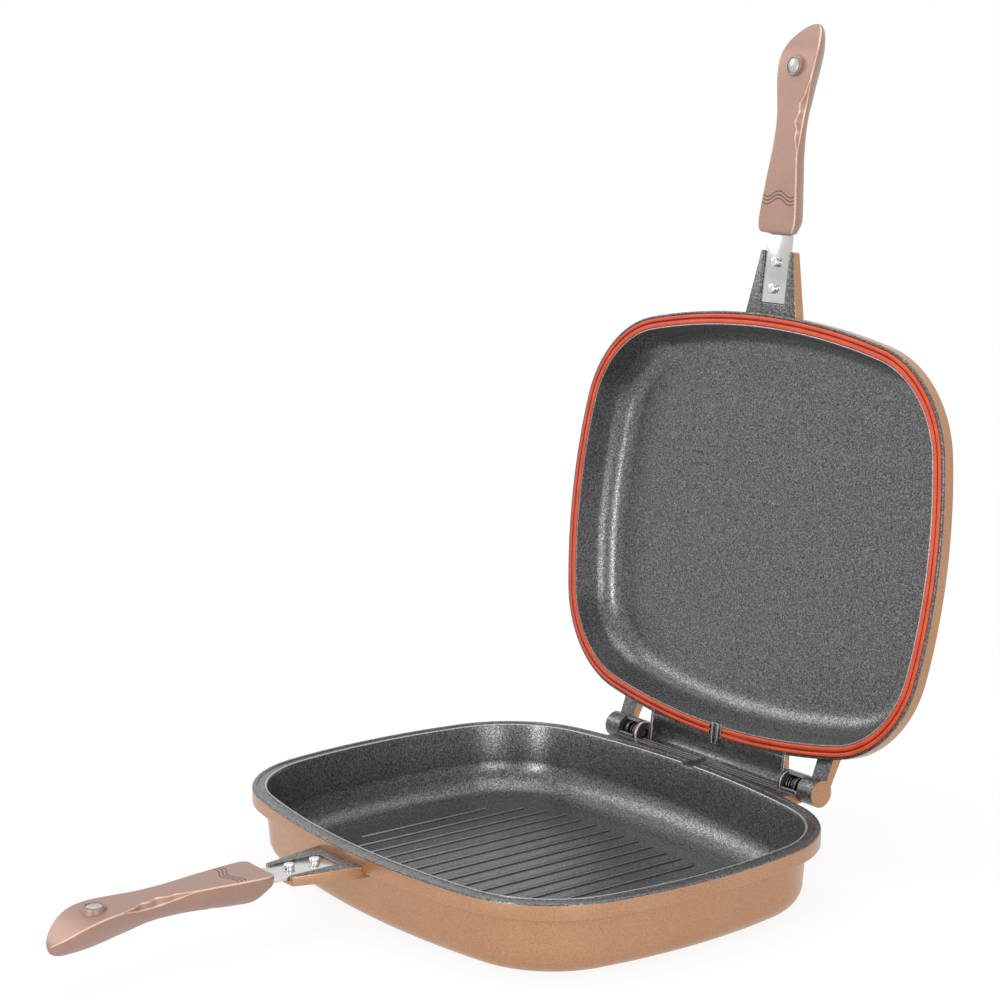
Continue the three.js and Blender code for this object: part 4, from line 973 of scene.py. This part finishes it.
# studio: pale floor, soft lamps and the camera
studioLook = {
    # how white the paper is seen near the pan and far from it, in metres from the middle
    "floor": "#f6f6f6", "whiteNear": 0.88, "whiteFar": 1.0, "nearRadius": 0.45, "farRadius": 1.3,
    "worldLight": 0.8,
    # name, place, size and watts; each lamp faces the middle of the pan
    "lamps": [("softboxOverhead", (-0.1, 0.15, 1.6), (1.7, 1.3), 11),
              ("softboxFront", (0.45, -1.65, 0.55), (0.35, 0.9), 12),
              ("softboxRight", (1.6, -0.5, 0.45), (0.7, 0.8), 8),
              ("softboxLeft", (-1.5, -0.7, 1.1), (0.7, 0.9), 6)],
    "target": (0, 0.05, 0.12),
    # half the floor's width, and how far it lies under the base so that the two faces don't flicker
    "floorHalf": 6.0, "floorDrop": 0.0001,
}


def seenDirectly(tree):
    # one where a ray comes from the camera, or by way of gloss or glass
    rays = addNode(tree, "LightPath")
    direct = addNode(tree, "Math", {"operation": "MAXIMUM"},
                     in0=rays.outputs["Is Camera Ray"], in1=rays.outputs["Is Glossy Ray"])
    return addNode(tree, "Math", {"operation": "MAXIMUM"},
                   in0=direct.outputs[0], in1=rays.outputs["Is Transmission Ray"]).outputs[0]


def backdropMaterial():
    # pale matt paper: seen and mirrored nearly white, with the object's shadow left on it
    material, tree, place = newMaterial("paleBackdropPaper")
    diffuse = addNode(tree, "BsdfDiffuse", {"Color": linear(studioLook["floor"])})
    glow = addNode(tree, "Emission", {"Color": (1, 1, 1, 1), "Strength": 1.0})
    away = addNode(tree, "VectorMath", {"operation": "LENGTH"}, in0=place)
    white = addNode(tree, "MapRange", {
        "From Min": studioLook["nearRadius"], "From Max": studioLook["farRadius"],
        "To Min": studioLook["whiteNear"], "To Max": studioLook["whiteFar"],
    }, Value=away.outputs["Value"])
    share = addNode(tree, "Math", {"operation": "MULTIPLY"}, in0=seenDirectly(tree),
                    in1=white.outputs[0])
    mix = addNode(tree, "MixShader", None, in0=share.outputs[0], in1=diffuse.outputs[0],
                  in2=glow.outputs[0])
    addNode(tree, "OutputMaterial", Surface=mix.outputs[0])
    return material


bm = bmesh.new()
bmesh.ops.create_grid(bm, x_segments=1, y_segments=1, size=studioLook["floorHalf"])
floorMesh = meshFrom(bm, "studioFloor")
floorMesh.materials.append(backdropMaterial())
studioFloor = placed("studioFloor", floorMesh)
studioFloor.location.z = -studioLook["floorDrop"]

world = bpy.data.worlds.new("studioWorld")
world.use_nodes = True
world.node_tree.nodes.clear()
tree = world.node_tree
level = addNode(tree, "MapRange", {"To Min": studioLook["worldLight"], "To Max": 1.0},
                Value=seenDirectly(tree))
sky = addNode(tree, "Background", {"Color": (1, 1, 1, 1)}, Strength=level.outputs[0])
addNode(tree, "OutputWorld", Surface=sky.outputs[0])
studio.world = world

for name, place, size, watts in studioLook["lamps"]:
    lamp = bpy.data.lights.new(name, "AREA")
    lamp.shape = "RECTANGLE"
    lamp.size, lamp.size_y = size
    lamp.energy = watts
    holder = placed(name, lamp)
    holder.location = place
    aim = Vector(studioLook["target"]) - Vector(place)
    holder.rotation_euler = aim.to_track_quat("-Z", "Y").to_euler()

# where the photograph was taken from: angles in degrees, lens in millimetres of a 36 mm frame
view = {"azimuth": 53.57955, "elevation": 10.57385, "roll": -0.27253, "lens": 86.784, "frame": 36.0,
        "place": (1047.593, -791.858, 462.149)}
turn = (Matrix.Rotation(radians(view["azimuth"]), 4, "Z")
        @ Matrix.Rotation(radians(90 - view["elevation"]), 4, "X")
        @ Matrix.Rotation(radians(view["roll"]), 4, "Z"))
cameraData = bpy.data.cameras.new("studioCamera")
cameraData.lens = view["lens"]
cameraData.sensor_width = view["frame"]
camera = placed("studioCamera", cameraData)
camera.matrix_world = Matrix.Translation(Vector(view["place"]) * mm) @ turn
studio.camera = camera

studio.view_settings.view_transform = "Standard"
print("studio set")
